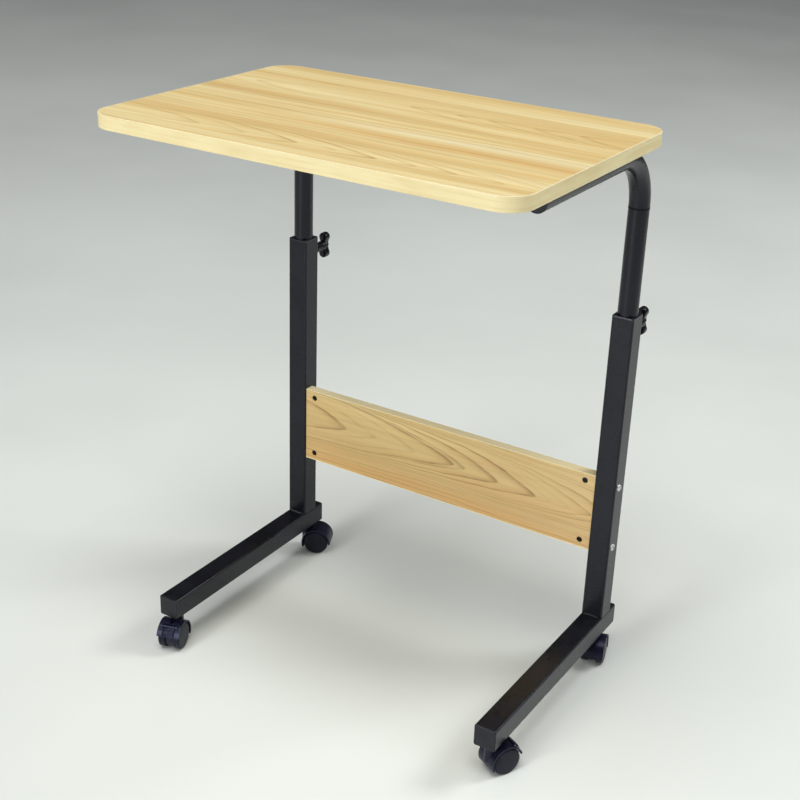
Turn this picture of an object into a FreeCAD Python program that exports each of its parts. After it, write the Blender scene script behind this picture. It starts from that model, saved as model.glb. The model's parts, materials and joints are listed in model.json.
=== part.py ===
import FreeCAD, Part
import math
import os

import Sketcher

# Overbed table: a rolling table on two C-shaped side frames whose height is set by two clamped
# masts. Millimetres. X runs along the long side, -Y is the side the feet point to, +Z is up.
# The origin is on the floor, under the middle of the bounding box.

SIZES = {
    # tabletop
    "top_width": 600.0,
    "top_depth": 400.0,
    "top_thickness": 18.0,
    "top_height": 806.0,
    "top_front": -234.0,
    "top_corner": 35.0,
    "band_thickness": 1.0,
    "band_arris": 0.5,
    "pilot_depth": 13.0,
    "screw_clearance": 0.1,
    # square tube of the side frames
    "tube": 32.0,
    "tube_wall": 1.2,
    "tube_corner": 2.8,
    "frame_spacing": 532.0,
    "post_y": 173.0,
    "post_top": 547.0,
    "foot_underside": 50.0,
    "foot_front": -161.0,
    "foot_rear": 207.0,
    "cap_flange": 2.5,
    "cap_plug": 9.0,
    "cap_arris": 1.4,
    "weld_leg": 3.0,
    # sleeve in each post's mouth
    "bush_flange": 2.5,
    "bush_length": 32.0,
    "fit_gap": 0.1,
    "stud_clearance": 0.6,
    # masts
    "mast_diameter": 28.0,
    "mast_wall": 1.2,
    "mast_leg": 250.0,
    "mast_bend": 77.0,
    "mast_run": 221.0,
    "guide_length": 22.0,
    "guide_gap": 0.2,
    "guide_floor": 3.0,
    "screw_diameter": 4.5,
    "screw_head": 9.0,
    "screw_crown": 6.5,
    "screw_head_height": 2.8,
    "screw_reach": 40.5,
    "front_screw_y": -102.0,
    "rear_screw_y": 37.0,
    # rear panel
    "panel_height": 120.0,
    "panel_thickness": 15.0,
    "panel_z": 246.5,
    "panel_setback": 3.0,
    "bolt_spacing": 96.0,
    "bolt_diameter": 6.0,
    "bolt_clearance": 0.3,
    "bolt_head": 10.5,
    "bolt_crown": 6.3,
    "bolt_head_height": 3.2,
    "bolt_reach": 26.0,
    "dowel_diameter": 9.0,
    "dowel_length": 12.0,
    "dowel_inset": 16.0,
    "dowel_recess": 0.8,
    "dowel_gap": 0.05,
    "thread_gap": 0.02,
    # clamp screws
    "clamp_z": 523.0,
    "stud_diameter": 8.0,
    "nut_width": 14.0,
    "nut_height": 7.0,
    "stud_tip_gap": 0.1,
    "stud_end": 2.0,
    "nut_gap": 0.05,
    "knob_base": 33.0,
    "hub_diameter": 15.0,
    "hub_length": 22.0,
    "wing_thickness": 12.0,
    "lobe_radius": 7.0,
    "lobe_offset": 13.0,
    "waist_radius": 50.0,
    "wing_arris": 3.0,
    # casters
    "caster_inset": 20.0,
    "caster_trail": 17.0,
    "wheel_radius": 20.0,
    "wheel_inner": 6.0,
    "wheel_outer": 17.5,
    "wheel_rim": 3.5,
    "wheel_disc": 2.4,
    "wheel_hub": 5.5,
    "wheel_round": 2.2,
    "axle_diameter": 6.0,
    "axle_length": 29.0,
    "axle_gap": 0.05,
    "axle_end_gap": 0.5,
    "hood_radius": 23.7,
    "hood_gap": 1.3,
    "hood_wall": 2.4,
    "hood_width": 35.0,
    "hood_start": 18.0,
    "hood_sweep": 184.0,
    "plain_hood_start": -4.0,
    "plain_hood_sweep": 206.0,
    "hood_slot_width": 3.6,
    "hood_slot_start": 71.0,
    "hood_slot_sweep": 15.0,
    "web_width": 10.4,
    "web_hub": 17.5,
    "neck_diameter": 17.0,
    "neck_top": 46.0,
    "stem_pin": 6.0,
    "stem_pin_bottom": 31.0,
    "stem_thread": 8.0,
    "stem_collar": 15.0,
    "stem_collar_height": 2.5,
    "stem_top": 62.0,
    "foot_nut": 13.0,
    "foot_nut_height": 6.5,
    # brake levers
    "lever_width": 18.0,
    "lever_radius": 25.0,
    "lever_wall": 2.6,
    "lever_pivot_radius": 23.6,
    "lever_pivot_angle": 58.0,
    "lever_knuckle": 5.0,
    "lever_pin": 2.4,
    "lever_pin_length": 26.0,
    "lever_pin_gap": 0.06,
    "lever_lug": 6.4,
    "lever_tab": 27.0,
    "lever_tab_sweep": 7.0,
    "window_gap": 0.5,
    "window_margin": 6.0,
}

# swivel heading of each caster at rest, in degrees from +X, and whether it has a brake
CASTERS = {
    "front_left": (-1, "front", -73.0, True),
    "front_right": (1, "front", 62.0, True),
    "rear_left": (-1, "rear", 25.0, False),
    "rear_right": (1, "rear", -76.0, False),
}
SIDES = {"left": -1, "right": 1}

doc = FreeCAD.newDocument("overbed_table")
sheet = doc.addObject("Spreadsheet::Sheet", "Sizes")
for row, (alias, number) in enumerate(SIZES.items(), start=1):
    sheet.set(f"A{row}", alias)
    sheet.set(f"B{row}", str(number))
    sheet.setAlias(f"B{row}", alias)
doc.recompute()

X_AXIS = FreeCAD.Vector(1, 0, 0)
Y_AXIS = FreeCAD.Vector(0, 1, 0)
Z_AXIS = FreeCAD.Vector(0, 0, 1)
NO_TURN = FreeCAD.Rotation()
TO_X = FreeCAD.Rotation(Y_AXIS, 90)
TO_MINUS_Y = FreeCAD.Rotation(X_AXIS, 90)
TO_PLUS_Y = FreeCAD.Rotation(X_AXIS, -90)
TINY = 1e-6

subparts = []


def size(alias):
    """The number in the sheet's cell of that alias."""
    return float(sheet.get(alias))


def bind(thing, path, words):
    """Tie a property to sheet cells; the words name aliases, with no sheet prefix."""
    for alias in sorted(SIZES, key=len, reverse=True):
        words = replace_word(words, alias, "Sizes." + alias)
    thing.setExpression(path, words)


def replace_word(words, old, new):
    """Replace old only where it stands as a whole word without a prefix."""
    found = words.find(old)
    while found >= 0:
        before = words[found - 1] if found else " "
        after = words[found + len(old)] if found + len(old) < len(words) else " "
        if not (before.isalnum() or before in "._") and not (after.isalnum() or after == "_"):
            words = words[:found] + new + words[found + len(old):]
            found += len(new)
        else:
            found += len(old)
        found = words.find(old, found)
    return words


def finish_subpart(thing, label, x=0.0, y=0.0, z=0.0, turn=NO_TURN):
    """Give a finished object its name and its place in the assembly."""
    thing.Label = label
    thing.Placement = FreeCAD.Placement(FreeCAD.Vector(x, y, z), turn)
    subparts.append(thing)
    return thing


# ---------------------------------------------------------------- PartDesign helpers

def new_body(name):
    return doc.addObject("PartDesign::Body", name + "_body")


def new_sketch(body, name, role, offset=(0.0, 0.0, 0.0)):
    """A sketch on one of the body's own origin planes, moved by offset in the plane's axes."""
    sketch = body.newObject("Sketcher::SketchObject", name)
    plane = [item for item in body.Origin.OriginFeatures if item.Role == role][0]
    sketch.AttachmentSupport = [(plane, "")]
    sketch.MapMode = "FlatFace"
    sketch.AttachmentOffset = FreeCAD.Placement(FreeCAD.Vector(*offset), NO_TURN)
    return sketch


def named(sketch, name, constraint, words):
    """Add a sized constraint under a name and bind it to the sheet."""
    index = sketch.addConstraint(constraint)
    sketch.renameConstraint(index, name)
    bind(sketch, "Constraints." + name, words)


def draw_rectangle(sketch, width, height):
    """A rectangle centred on the sketch's origin."""
    corners = [FreeCAD.Vector(sx, sy, 0) for sx, sy in ((-1, -1), (1, -1), (1, 1), (-1, 1))]
    first = sketch.GeometryCount
    for index in range(4):
        sketch.addGeometry(Part.LineSegment(corners[index], corners[(index + 1) % 4]))
    for index in range(4):
        following = first + (index + 1) % 4
        sketch.addConstraint(Sketcher.Constraint("Coincident", first + index, 2, following, 1))
    for line in (first, first + 2):
        sketch.addConstraint(Sketcher.Constraint("Horizontal", line))
    for line in (first + 1, first + 3):
        sketch.addConstraint(Sketcher.Constraint("Vertical", line))
    sketch.addConstraint(Sketcher.Constraint("Symmetric", first, 1, first + 2, 1, -1, 1))
    across = Sketcher.Constraint("DistanceX", first, 1, first, 2, 2.0)
    upward = Sketcher.Constraint("DistanceY", first + 1, 1, first + 1, 2, 2.0)
    named(sketch, f"width{first}", across, width)
    named(sketch, f"height{first}", upward, height)


def draw_rounded_rectangle(sketch, width, height, radius):
    """A rectangle with round corners, centred on the sketch's origin."""
    half_w, half_h, r = evaluate(width) / 2, evaluate(height) / 2, evaluate(radius)
    for out_x, out_y in ((1, 0), (0, 1), (-1, 0), (0, -1)):
        middle = FreeCAD.Vector(out_x * half_w, out_y * half_h, 0)
        reach = FreeCAD.Vector(-out_y * (half_w - r), out_x * (half_h - r), 0)
        sketch.addGeometry(Part.LineSegment(middle - reach, middle + reach))
    for index, (sx, sy) in enumerate(((1, 1), (-1, 1), (-1, -1), (1, -1))):
        centre = FreeCAD.Vector(sx * (half_w - r), sy * (half_h - r), 0)
        circle = Part.Circle(centre, Z_AXIS, r)
        first = math.pi / 2 * index
        sketch.addGeometry(Part.ArcOfCircle(circle, first, first + math.pi / 2))
    for index in range(4):
        following = (index + 1) % 4
        sketch.addConstraint(Sketcher.Constraint("Tangent", index, 2, 4 + index, 1))
        sketch.addConstraint(Sketcher.Constraint("Tangent", 4 + index, 2, following, 1))
    for line in (0, 2):
        sketch.addConstraint(Sketcher.Constraint("Vertical", line))
        sketch.addConstraint(Sketcher.Constraint("Horizontal", line + 1))
    for arc in (5, 6, 7):
        sketch.addConstraint(Sketcher.Constraint("Equal", 4, arc))
    sketch.addConstraint(Sketcher.Constraint("Symmetric", 4, 3, 6, 3, -1, 1))
    named(sketch, "radius", Sketcher.Constraint("Radius", 4, r), radius)
    named(sketch, "width", Sketcher.Constraint("DistanceX", 2, 1, 0, 1, 2 * half_w), width)
    named(sketch, "height", Sketcher.Constraint("DistanceY", 3, 1, 1, 1, 2 * half_h), height)


def draw_circle(sketch, diameter):
    """A circle centred on the sketch's origin."""
    index = sketch.addGeometry(Part.Circle(FreeCAD.Vector(0, 0, 0), Z_AXIS, 1.0))
    sketch.addConstraint(Sketcher.Constraint("Coincident", index, 3, -1, 1))
    named(sketch, f"diameter{index}", Sketcher.Constraint("Diameter", index, 2.0), diameter)


def draw_outline(sketch, points):
    """A closed outline through (across, along) points, given as expressions, none negative."""
    values = [[evaluate(words) for words in point] for point in points]
    count = len(points)
    for index in range(count):
        start = FreeCAD.Vector(*values[index], 0)
        end = FreeCAD.Vector(*values[(index + 1) % count], 0)
        sketch.addGeometry(Part.LineSegment(start, end))
    for index in range(count):
        sketch.addConstraint(Sketcher.Constraint("Coincident", index, 2, (index + 1) % count, 1))
        axes = (("DistanceX", -2), ("DistanceY", -1))
        for (kind, axis), value, words in zip(axes, values[index], points[index]):
            if abs(value) < TINY:
                sketch.addConstraint(Sketcher.Constraint("PointOnObject", index, 1, axis))
            else:
                constraint = Sketcher.Constraint(kind, -1, 1, index, 1, value)
                named(sketch, f"{kind}{index}", constraint, words)


def evaluate(words):
    """The value of an expression over the sheet's aliases."""
    for alias in sorted(SIZES, key=len, reverse=True):
        words = replace_word(words, alias, "Sizes." + alias)
    return float(sheet.evalExpression(words))


def add_pad(body, sketch, length, both_ways=False, backwards=False):
    pad = body.newObject("PartDesign::Pad", sketch.Name + "_pad")
    pad.Profile = sketch
    bind(pad, "Length", length)
    pad.Midplane = both_ways
    pad.Reversed = backwards
    doc.recompute()
    return pad


def add_pocket(body, sketch, length, both_ways=False, backwards=False):
    """A cut that must remove material."""
    before = body.Shape.Volume
    pocket = body.newObject("PartDesign::Pocket", sketch.Name + "_pocket")
    pocket.Profile = sketch
    bind(pocket, "Length", length)
    pocket.Midplane = both_ways
    pocket.Reversed = backwards
    doc.recompute()
    if body.Shape.Volume > before - TINY:
        raise ValueError(f"{pocket.Name} cuts nothing")
    return pocket


def add_revolution(body, sketch):
    """Turn an outline about the sketch's own vertical axis."""
    turned = body.newObject("PartDesign::Revolution", sketch.Name + "_turned")
    turned.Profile = sketch
    turned.ReferenceAxis = (sketch, ["V_Axis"])
    turned.Angle = 360.0
    doc.recompute()
    return turned


def add_fillet(body, base, radius, wanted):
    """Round the edges of base for which wanted(edge) is true."""
    names = [f"Edge{n}" for n, edge in enumerate(base.Shape.Edges, start=1) if wanted(edge)]
    fillet = body.newObject("PartDesign::Fillet", base.Name + "_fillet")
    fillet.Base = (base, names)
    bind(fillet, "Radius", radius)
    doc.recompute()
    return fillet


def runs_along(edge, axis):
    """True for a straight edge parallel to axis."""
    if edge.Curve.TypeId != "Part::GeomLine":
        return False
    return abs(abs(edge.Curve.Direction.dot(axis)) - 1) < TINY


def is_upright(edge):
    return runs_along(edge, Z_AXIS)


def is_across_y(edge):
    return not runs_along(edge, Y_AXIS)


def round_top_edges(body, base, height):
    """Break the edges that lie at that height."""

    def is_top(edge):
        return min(vertex.Z for vertex in edge.Vertexes) > height - TINY

    return add_fillet(body, base, "cap_arris", is_top)


# ---------------------------------------------------------------- Part primitive helpers

def cylinder(name, radius, height, base=(0.0, 0.0, 0.0), turn=NO_TURN, sweep="360"):
    solid = doc.addObject("Part::Cylinder", name)
    bind(solid, "Radius", radius)
    bind(solid, "Height", height)
    bind(solid, "Angle", sweep)
    solid.Placement = FreeCAD.Placement(FreeCAD.Vector(*base), turn)
    return solid


def cone(name, base_radius, top_radius, height, base, turn=NO_TURN):
    solid = doc.addObject("Part::Cone", name)
    bind(solid, "Radius1", base_radius)
    bind(solid, "Radius2", top_radius)
    bind(solid, "Height", height)
    solid.Placement = FreeCAD.Placement(FreeCAD.Vector(*base), turn)
    return solid


def fuse(name, shapes):
    joined = doc.addObject("Part::MultiFuse", name)
    joined.Shapes = shapes
    joined.Refine = True
    doc.recompute()
    return joined


def cut(name, base, tool):
    remainder = doc.addObject("Part::Cut", name)
    remainder.Base = base
    remainder.Tool = tool
    remainder.Refine = True
    doc.recompute()
    return remainder


def compound(name, shapes):
    group = doc.addObject("Part::Compound", name)
    group.Links = shapes
    doc.recompute()
    return group


# ---------------------------------------------------------------- tabletop

BOARD_OUTLINE = ("top_width - 2 * band_thickness", "top_depth - 2 * band_thickness",
                 "top_corner - band_thickness")


def make_rounded_slab(body, name, width, depth, corner):
    sketch = new_sketch(body, name + "_outline", "XY_Plane")
    draw_rounded_rectangle(sketch, width, depth, corner)
    return add_pad(body, sketch, "top_thickness")


def make_tabletop_board():
    body = new_body("tabletop_board")
    make_rounded_slab(body, "board", *BOARD_OUTLINE)
    centre_y = size("top_front") + size("top_depth") / 2
    for side in SIDES.values():
        for number, screw_y in enumerate(("front_screw_y", "rear_screw_y")):
            place = (side * size("frame_spacing") / 2, size(screw_y) - centre_y, 0.0)
            pilot = new_sketch(body, f"pilot{(side + 1) // 2}{number}", "XY_Plane", place)
            draw_circle(pilot, "screw_diameter + screw_clearance")
            add_pocket(body, pilot, "pilot_depth", backwards=True)
    underside = size("top_height") - size("top_thickness")
    finish_subpart(body, "tabletop_board", 0.0, centre_y, underside)


def make_tabletop_edge_band():
    body = new_body("tabletop_edge_band")
    slab = make_rounded_slab(body, "band", "top_width", "top_depth", "top_corner")
    thickness = size("top_thickness")

    def is_rim(edge):
        heights = [vertex.Z for vertex in edge.Vertexes]
        return max(heights) < TINY or min(heights) > thickness - TINY

    add_fillet(body, slab, "band_arris", is_rim)
    inside = new_sketch(body, "band_inside", "XY_Plane")
    draw_rounded_rectangle(inside, *BOARD_OUTLINE)
    add_pocket(body, inside, "top_thickness", backwards=True)
    centre_y = size("top_front") + size("top_depth") / 2
    underside = size("top_height") - size("top_thickness")
    finish_subpart(body, "tabletop_edge_band", 0.0, centre_y, underside)


def make_tabletop_screws():
    """Four pan-head screws that rise through the masts' runs into the board."""
    solids = []
    under_tube = size("top_height") - size("top_thickness") - size("mast_diameter")
    for side in SIDES.values():
        for screw_y in ("front_screw_y", "rear_screw_y"):
            number = len(solids)
            place = (side * size("frame_spacing") / 2, size(screw_y), under_tube)
            shank = cylinder(f"screw_shank{number}", "screw_diameter / 2", "screw_reach", place)
            head_place = (place[0], place[1], under_tube - size("screw_head_height"))
            head = cone(f"screw_head{number}", "screw_crown / 2", "screw_head / 2",
                        "screw_head_height", head_place)
            solids.append(fuse(f"screw{number}", [shank, head]))
    finish_subpart(compound("screws", solids), "tabletop_screws")


# ---------------------------------------------------------------- masts

def draw_mast_path(sketch):
    """Up the leg, round the bend towards -Y and along the run; bound point by point."""
    leg, bend, run = size("mast_leg"), size("mast_bend"), size("mast_run")
    crown = leg + bend
    leg_top = FreeCAD.Vector(0, leg, 0)
    run_start = FreeCAD.Vector(-bend, crown, 0)
    run_end = FreeCAD.Vector(-bend - run, crown, 0)
    half_turn = FreeCAD.Vector(math.cos(math.pi / 4) - 1, math.sin(math.pi / 4), 0)
    sketch.addGeometry(Part.LineSegment(FreeCAD.Vector(0, 0, 0), leg_top))
    sketch.addGeometry(Part.Arc(leg_top, leg_top + half_turn * bend, run_start))
    sketch.addGeometry(Part.LineSegment(run_start, run_end))
    sketch.addConstraint(Sketcher.Constraint("Coincident", 0, 1, -1, 1))
    sketch.addConstraint(Sketcher.Constraint("Vertical", 0))
    sketch.addConstraint(Sketcher.Constraint("Tangent", 0, 2, 1, 1))
    sketch.addConstraint(Sketcher.Constraint("Tangent", 1, 2, 2, 1))
    sketch.addConstraint(Sketcher.Constraint("Horizontal", 2))
    named(sketch, "leg", Sketcher.Constraint("Distance", 0, leg), "mast_leg")
    named(sketch, "bend", Sketcher.Constraint("Radius", 1, bend), "mast_bend")
    named(sketch, "run", Sketcher.Constraint("Distance", 2, run), "mast_run")


def make_mast(side_name, side):
    body = new_body(side_name + "_mast")
    path = new_sketch(body, side_name + "_mast_path", "YZ_Plane")
    draw_mast_path(path)
    ring = new_sketch(body, side_name + "_mast_ring", "XY_Plane")
    draw_circle(ring, "mast_diameter")
    draw_circle(ring, "mast_diameter - 2 * mast_wall")
    doc.recompute()
    pipe = body.newObject("PartDesign::AdditivePipe", side_name + "_mast_pipe")
    pipe.Profile = ring
    pipe.Spine = path
    doc.recompute()
    for number, screw_y in enumerate(("front_screw_y", "rear_screw_y")):
        place = (0.0, size(screw_y) - size("post_y"), size("mast_leg") + size("mast_bend"))
        hole = new_sketch(body, f"{side_name}_mast_hole{number}", "XY_Plane", place)
        draw_circle(hole, "screw_diameter + screw_clearance")
        add_pocket(body, hole, "mast_diameter + 2", both_ways=True)
    place_x = side * size("frame_spacing") / 2
    finish_subpart(body, side_name + "_mast", place_x, size("post_y"), mast_bottom())


def mast_bottom():
    """Height of the mast's lower end at rest."""
    run_height = size("top_height") - size("top_thickness") - size("mast_diameter") / 2
    return run_height - size("mast_bend") - size("mast_leg")


def make_mast_plugs(side_name, side):
    """A square guide round the leg's foot, and a stopper in the run's open end."""
    inner = "tube - 2 * tube_wall - 2 * guide_gap"
    body = new_body(side_name + "_mast_guide")
    outline = new_sketch(body, side_name + "_guide_outline", "XY_Plane")
    draw_rectangle(outline, inner, inner)
    block = add_pad(body, outline, "guide_length")
    add_fillet(body, block, "tube_corner - tube_wall", is_upright)
    seat = new_sketch(body, side_name + "_guide_seat", "XY_Plane", (0.0, 0.0, size("guide_floor")))
    draw_circle(seat, "mast_diameter")
    add_pocket(body, seat, "guide_length", backwards=True)
    place_x = side * size("frame_spacing") / 2
    finish_subpart(body, side_name + "_mast_guide", place_x, size("post_y"),
                   mast_bottom() - size("guide_floor"))

    bore = "mast_diameter / 2 - mast_wall"
    plug = cylinder(side_name + "_plug_shaft", bore, "cap_plug", turn=TO_PLUS_Y)
    flange = cylinder(side_name + "_plug_flange", "mast_diameter / 2", "cap_flange",
                      (0.0, -size("cap_flange"), 0.0), TO_PLUS_Y)
    stopper = fuse(side_name + "_stopper", [plug, flange])
    run_end = size("post_y") - size("mast_bend") - size("mast_run")
    finish_subpart(stopper, side_name + "_mast_end_cap", place_x, run_end,
                   mast_bottom() + size("mast_leg") + size("mast_bend"))


# ---------------------------------------------------------------- side frames

def make_square_tube(body, name, length):
    """A tube along +Z from the body's origin, with rounded corners inside and out."""
    outline = new_sketch(body, name + "_outer", "XY_Plane")
    draw_rectangle(outline, "tube", "tube")
    bar = add_pad(body, outline, length)
    add_fillet(body, bar, "tube_corner", is_upright)
    bore = new_sketch(body, name + "_inner", "XY_Plane")
    draw_rectangle(bore, "tube - 2 * tube_wall", "tube - 2 * tube_wall")
    return add_pocket(body, bore, length, backwards=True)


def make_foot(side_name, side):
    """The tube lies along Y; its local +Z is turned to -Y, so local +Y is up."""
    body = new_body(side_name + "_foot")
    length = "foot_rear - foot_front - 2 * cap_flange"
    make_square_tube(body, side_name + "_foot", length)
    rear_end = size("foot_rear") - size("cap_flange")
    for number, stem_y in enumerate(caster_stations()):
        place = (0.0, rear_end - stem_y, 0.0)
        hole = new_sketch(body, f"{side_name}_stem_hole{number}", "XZ_Plane", place)
        draw_circle(hole, "stem_thread + 2 * fit_gap")
        add_pocket(body, hole, "tube / 2 + 1", backwards=True)
    finish_subpart(body, side_name + "_foot", side * size("frame_spacing") / 2, rear_end,
                   size("foot_underside") + size("tube") / 2, TO_MINUS_Y)


def caster_stations():
    """Y of the front and the rear swivel axes."""
    return size("foot_front") + size("caster_inset"), size("foot_rear") - size("caster_inset")


def make_foot_cap(side_name, side, end_name, end):
    """A square plug with a flange that covers the tube's end."""
    name = f"{side_name}_foot_{end_name}_cap"
    body = new_body(name)
    face = new_sketch(body, name + "_face", "XY_Plane")
    draw_rectangle(face, "tube", "tube")
    plate = add_pad(body, face, "cap_flange")
    rounded = add_fillet(body, plate, "tube_corner", is_upright)
    round_top_edges(body, rounded, size("cap_flange"))
    plug = new_sketch(body, name + "_plug", "XY_Plane")
    draw_rectangle(plug, "tube - 2 * tube_wall - fit_gap", "tube - 2 * tube_wall - fit_gap")
    add_pad(body, plug, "cap_plug", backwards=True)
    turn = TO_MINUS_Y if end < 0 else TO_PLUS_Y
    tip = size("foot_front") if end < 0 else size("foot_rear")
    finish_subpart(body, name, side * size("frame_spacing") / 2, tip - end * size("cap_flange"),
                   size("foot_underside") + size("tube") / 2, turn)


def make_post(side_name, side):
    body = new_body(side_name + "_post")
    foot_top = size("foot_underside") + size("tube")
    make_square_tube(body, side_name + "_post", "post_top - foot_underside - tube")
    for number, step in enumerate((-0.5, 0.5)):
        level = size("panel_z") + step * size("bolt_spacing") - foot_top
        place = (bolt_y() - size("post_y"), level, 0.0)
        hole = new_sketch(body, f"{side_name}_bolt_hole{number}", "YZ_Plane", place)
        draw_circle(hole, "bolt_diameter + bolt_clearance")
        add_pocket(body, hole, "tube + 2", both_ways=True)
    stud = new_sketch(body, side_name + "_stud_hole", "XZ_Plane", (0.0, size("clamp_z") - foot_top, 0.0))
    draw_circle(stud, "stud_diameter + stud_clearance")
    add_pocket(body, stud, "tube / 2 + 1")
    finish_subpart(body, side_name + "_post", side * size("frame_spacing") / 2, size("post_y"), foot_top)


def bolt_y():
    """The panel's middle plane, where its bolts run."""
    return size("post_y") - size("tube") / 2 + size("panel_setback") + size("panel_thickness") / 2


def make_post_bush(side_name, side):
    """Plastic sleeve: a flange on the post's rim and a square shank with the mast's bore."""
    body = new_body(side_name + "_post_bush")
    face = new_sketch(body, side_name + "_bush_face", "XY_Plane")
    draw_rectangle(face, "tube", "tube")
    plate = add_pad(body, face, "bush_flange")
    rounded = add_fillet(body, plate, "tube_corner", is_upright)
    round_top_edges(body, rounded, size("bush_flange"))
    shank = new_sketch(body, side_name + "_bush_shank", "XY_Plane")
    draw_rectangle(shank, "tube - 2 * tube_wall - fit_gap", "tube - 2 * tube_wall - fit_gap")
    add_pad(body, shank, "bush_length", backwards=True)
    bore = new_sketch(body, side_name + "_bush_bore", "XY_Plane")
    draw_circle(bore, "mast_diameter + 2 * fit_gap")
    add_pocket(body, bore, "2 * bush_length + 2 * bush_flange", both_ways=True)
    level = size("clamp_z") - size("post_top")
    stud = new_sketch(body, side_name + "_bush_stud", "XZ_Plane", (0.0, level, 0.0))
    draw_circle(stud, "stud_diameter + stud_clearance")
    add_pocket(body, stud, "tube / 2 + 1")
    place_x = side * size("frame_spacing") / 2
    finish_subpart(body, side_name + "_post_bush", place_x, size("post_y"), size("post_top"))


def make_post_welds():
    """Quarter-round beads where each post meets its foot, across the front and the rear face."""
    beads = []
    foot_top = size("foot_underside") + size("tube")
    length = "tube - 2 * tube_corner"
    along_x = FreeCAD.Rotation(Z_AXIS, 90).multiply(TO_MINUS_Y)
    for side in SIDES.values():
        start_x = side * size("frame_spacing") / 2 - evaluate(length) / 2
        for face, start in ((-1, 90), (1, 0)):
            turn = along_x.multiply(FreeCAD.Rotation(Z_AXIS, start))
            place = (start_x, size("post_y") + face * size("tube") / 2, foot_top)
            beads.append(cylinder(f"bead{len(beads)}", "weld_leg", length, place, turn, "90"))
    finish_subpart(compound("welds", beads), "post_welds")


# ---------------------------------------------------------------- rear panel

def make_rear_panel_board():
    body = new_body("rear_panel_board")
    face = new_sketch(body, "panel_face", "XZ_Plane")
    draw_rectangle(face, "frame_spacing - tube", "panel_height - 2 * band_thickness")
    add_pad(body, face, "panel_thickness", both_ways=True)
    half_length = (size("frame_spacing") - size("tube")) / 2
    for side in SIDES.values():
        for step in (-0.5, 0.5):
            label = f"{(side + 1) // 2}{step > 0:d}"
            level = step * size("bolt_spacing")
            place = (side * (half_length - size("dowel_inset")), level, size("panel_thickness") / 2)
            dowel = new_sketch(body, "dowel_hole" + label, "XZ_Plane", place)
            draw_circle(dowel, "dowel_diameter")
            add_pocket(body, dowel, "dowel_length")
            bolt = new_sketch(body, "bolt_hole" + label, "YZ_Plane", (0.0, level, side * half_length))
            draw_circle(bolt, "bolt_diameter + bolt_clearance")
            add_pocket(body, bolt, "bolt_reach + 1", backwards=side < 0)
    finish_subpart(body, "rear_panel_board", 0.0, bolt_y(), size("panel_z"))


def make_rear_panel_bands():
    """Strips of edging on the panel's long edges."""
    strips = []
    for name, step in (("lower", -1), ("upper", 1)):
        strip = doc.addObject("Part::Box", name + "_strip")
        bind(strip, "Length", "frame_spacing - tube")
        bind(strip, "Width", "panel_thickness")
        bind(strip, "Height", "band_thickness")
        middle = step * (size("panel_height") - size("band_thickness")) / 2
        corner = FreeCAD.Vector(-evaluate("frame_spacing - tube") / 2, -size("panel_thickness") / 2,
                                middle - size("band_thickness") / 2)
        strip.Placement = FreeCAD.Placement(corner, NO_TURN)
        strips.append(strip)
    finish_subpart(compound("strips", strips), "rear_panel_edge_bands", 0.0, bolt_y(), size("panel_z"))


def make_panel_fixings():
    """Bolts through the posts into cross dowels set in the panel's front face."""
    bolts, dowels = [], []
    outer = size("frame_spacing") / 2 + size("tube") / 2
    dowel_x = (size("frame_spacing") - size("tube")) / 2 - size("dowel_inset")
    dowel_front = bolt_y() - size("panel_thickness") / 2 + size("dowel_recess")
    for side in SIDES.values():
        inward = FreeCAD.Rotation(Y_AXIS, -90 * side)
        for step in (-0.5, 0.5):
            number = len(bolts)
            level = size("panel_z") + step * size("bolt_spacing")
            shank = cylinder(f"bolt_shank{number}", "bolt_diameter / 2", "tube + bolt_reach",
                             (side * outer, bolt_y(), level), inward)
            head_place = (side * (outer + size("bolt_head_height")), bolt_y(), level)
            head = cone(f"bolt_head{number}", "bolt_crown / 2", "bolt_head / 2",
                        "bolt_head_height", head_place, inward)
            bolts.append(fuse(f"bolt{number}", [shank, head]))
            barrel = cylinder(f"barrel{number}", "dowel_diameter / 2 - dowel_gap", "dowel_length - 1",
                              (side * dowel_x, dowel_front, level), TO_PLUS_Y)
            thread = cylinder(f"barrel_thread{number}", "bolt_diameter / 2 + thread_gap",
                              "2 * dowel_diameter",
                              (side * (dowel_x + size("dowel_diameter")), bolt_y(), level), inward)
            dowels.append(cut(f"dowel{number}", barrel, thread))
    finish_subpart(compound("bolts", bolts), "panel_bolts")
    finish_subpart(compound("dowels", dowels), "panel_barrel_nuts")


# ---------------------------------------------------------------- clamp screws

def make_clamp(side_name, side):
    place_x = side * size("frame_spacing") / 2
    rear_face = size("post_y") + size("tube") / 2

    prism = doc.addObject("Part::Prism", side_name + "_nut_prism")
    prism.Polygon = 6
    bind(prism, "Circumradius", "nut_width / sqrt(3)")
    bind(prism, "Height", "nut_height")
    prism.Placement = FreeCAD.Placement(FreeCAD.Vector(0, 0, 0), TO_PLUS_Y)
    thread = cylinder(side_name + "_nut_thread", "stud_diameter / 2 + nut_gap", "3 * nut_height",
                      (0.0, -size("nut_height"), 0.0), TO_PLUS_Y)
    nut = cut(side_name + "_nut", prism, thread)
    finish_subpart(nut, side_name + "_clamp_nut", place_x, rear_face, size("clamp_z"))

    tip = size("post_y") + size("mast_diameter") / 2 + size("stud_tip_gap")
    length = "tube / 2 - mast_diameter / 2 - stud_tip_gap + knob_base - stud_end"
    stud = cylinder(side_name + "_stud", "stud_diameter / 2", length)
    finish_subpart(stud, side_name + "_clamp_stud", place_x, tip, size("clamp_z"), TO_PLUS_Y)
    make_clamp_knob(side_name, place_x, rear_face)


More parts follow.
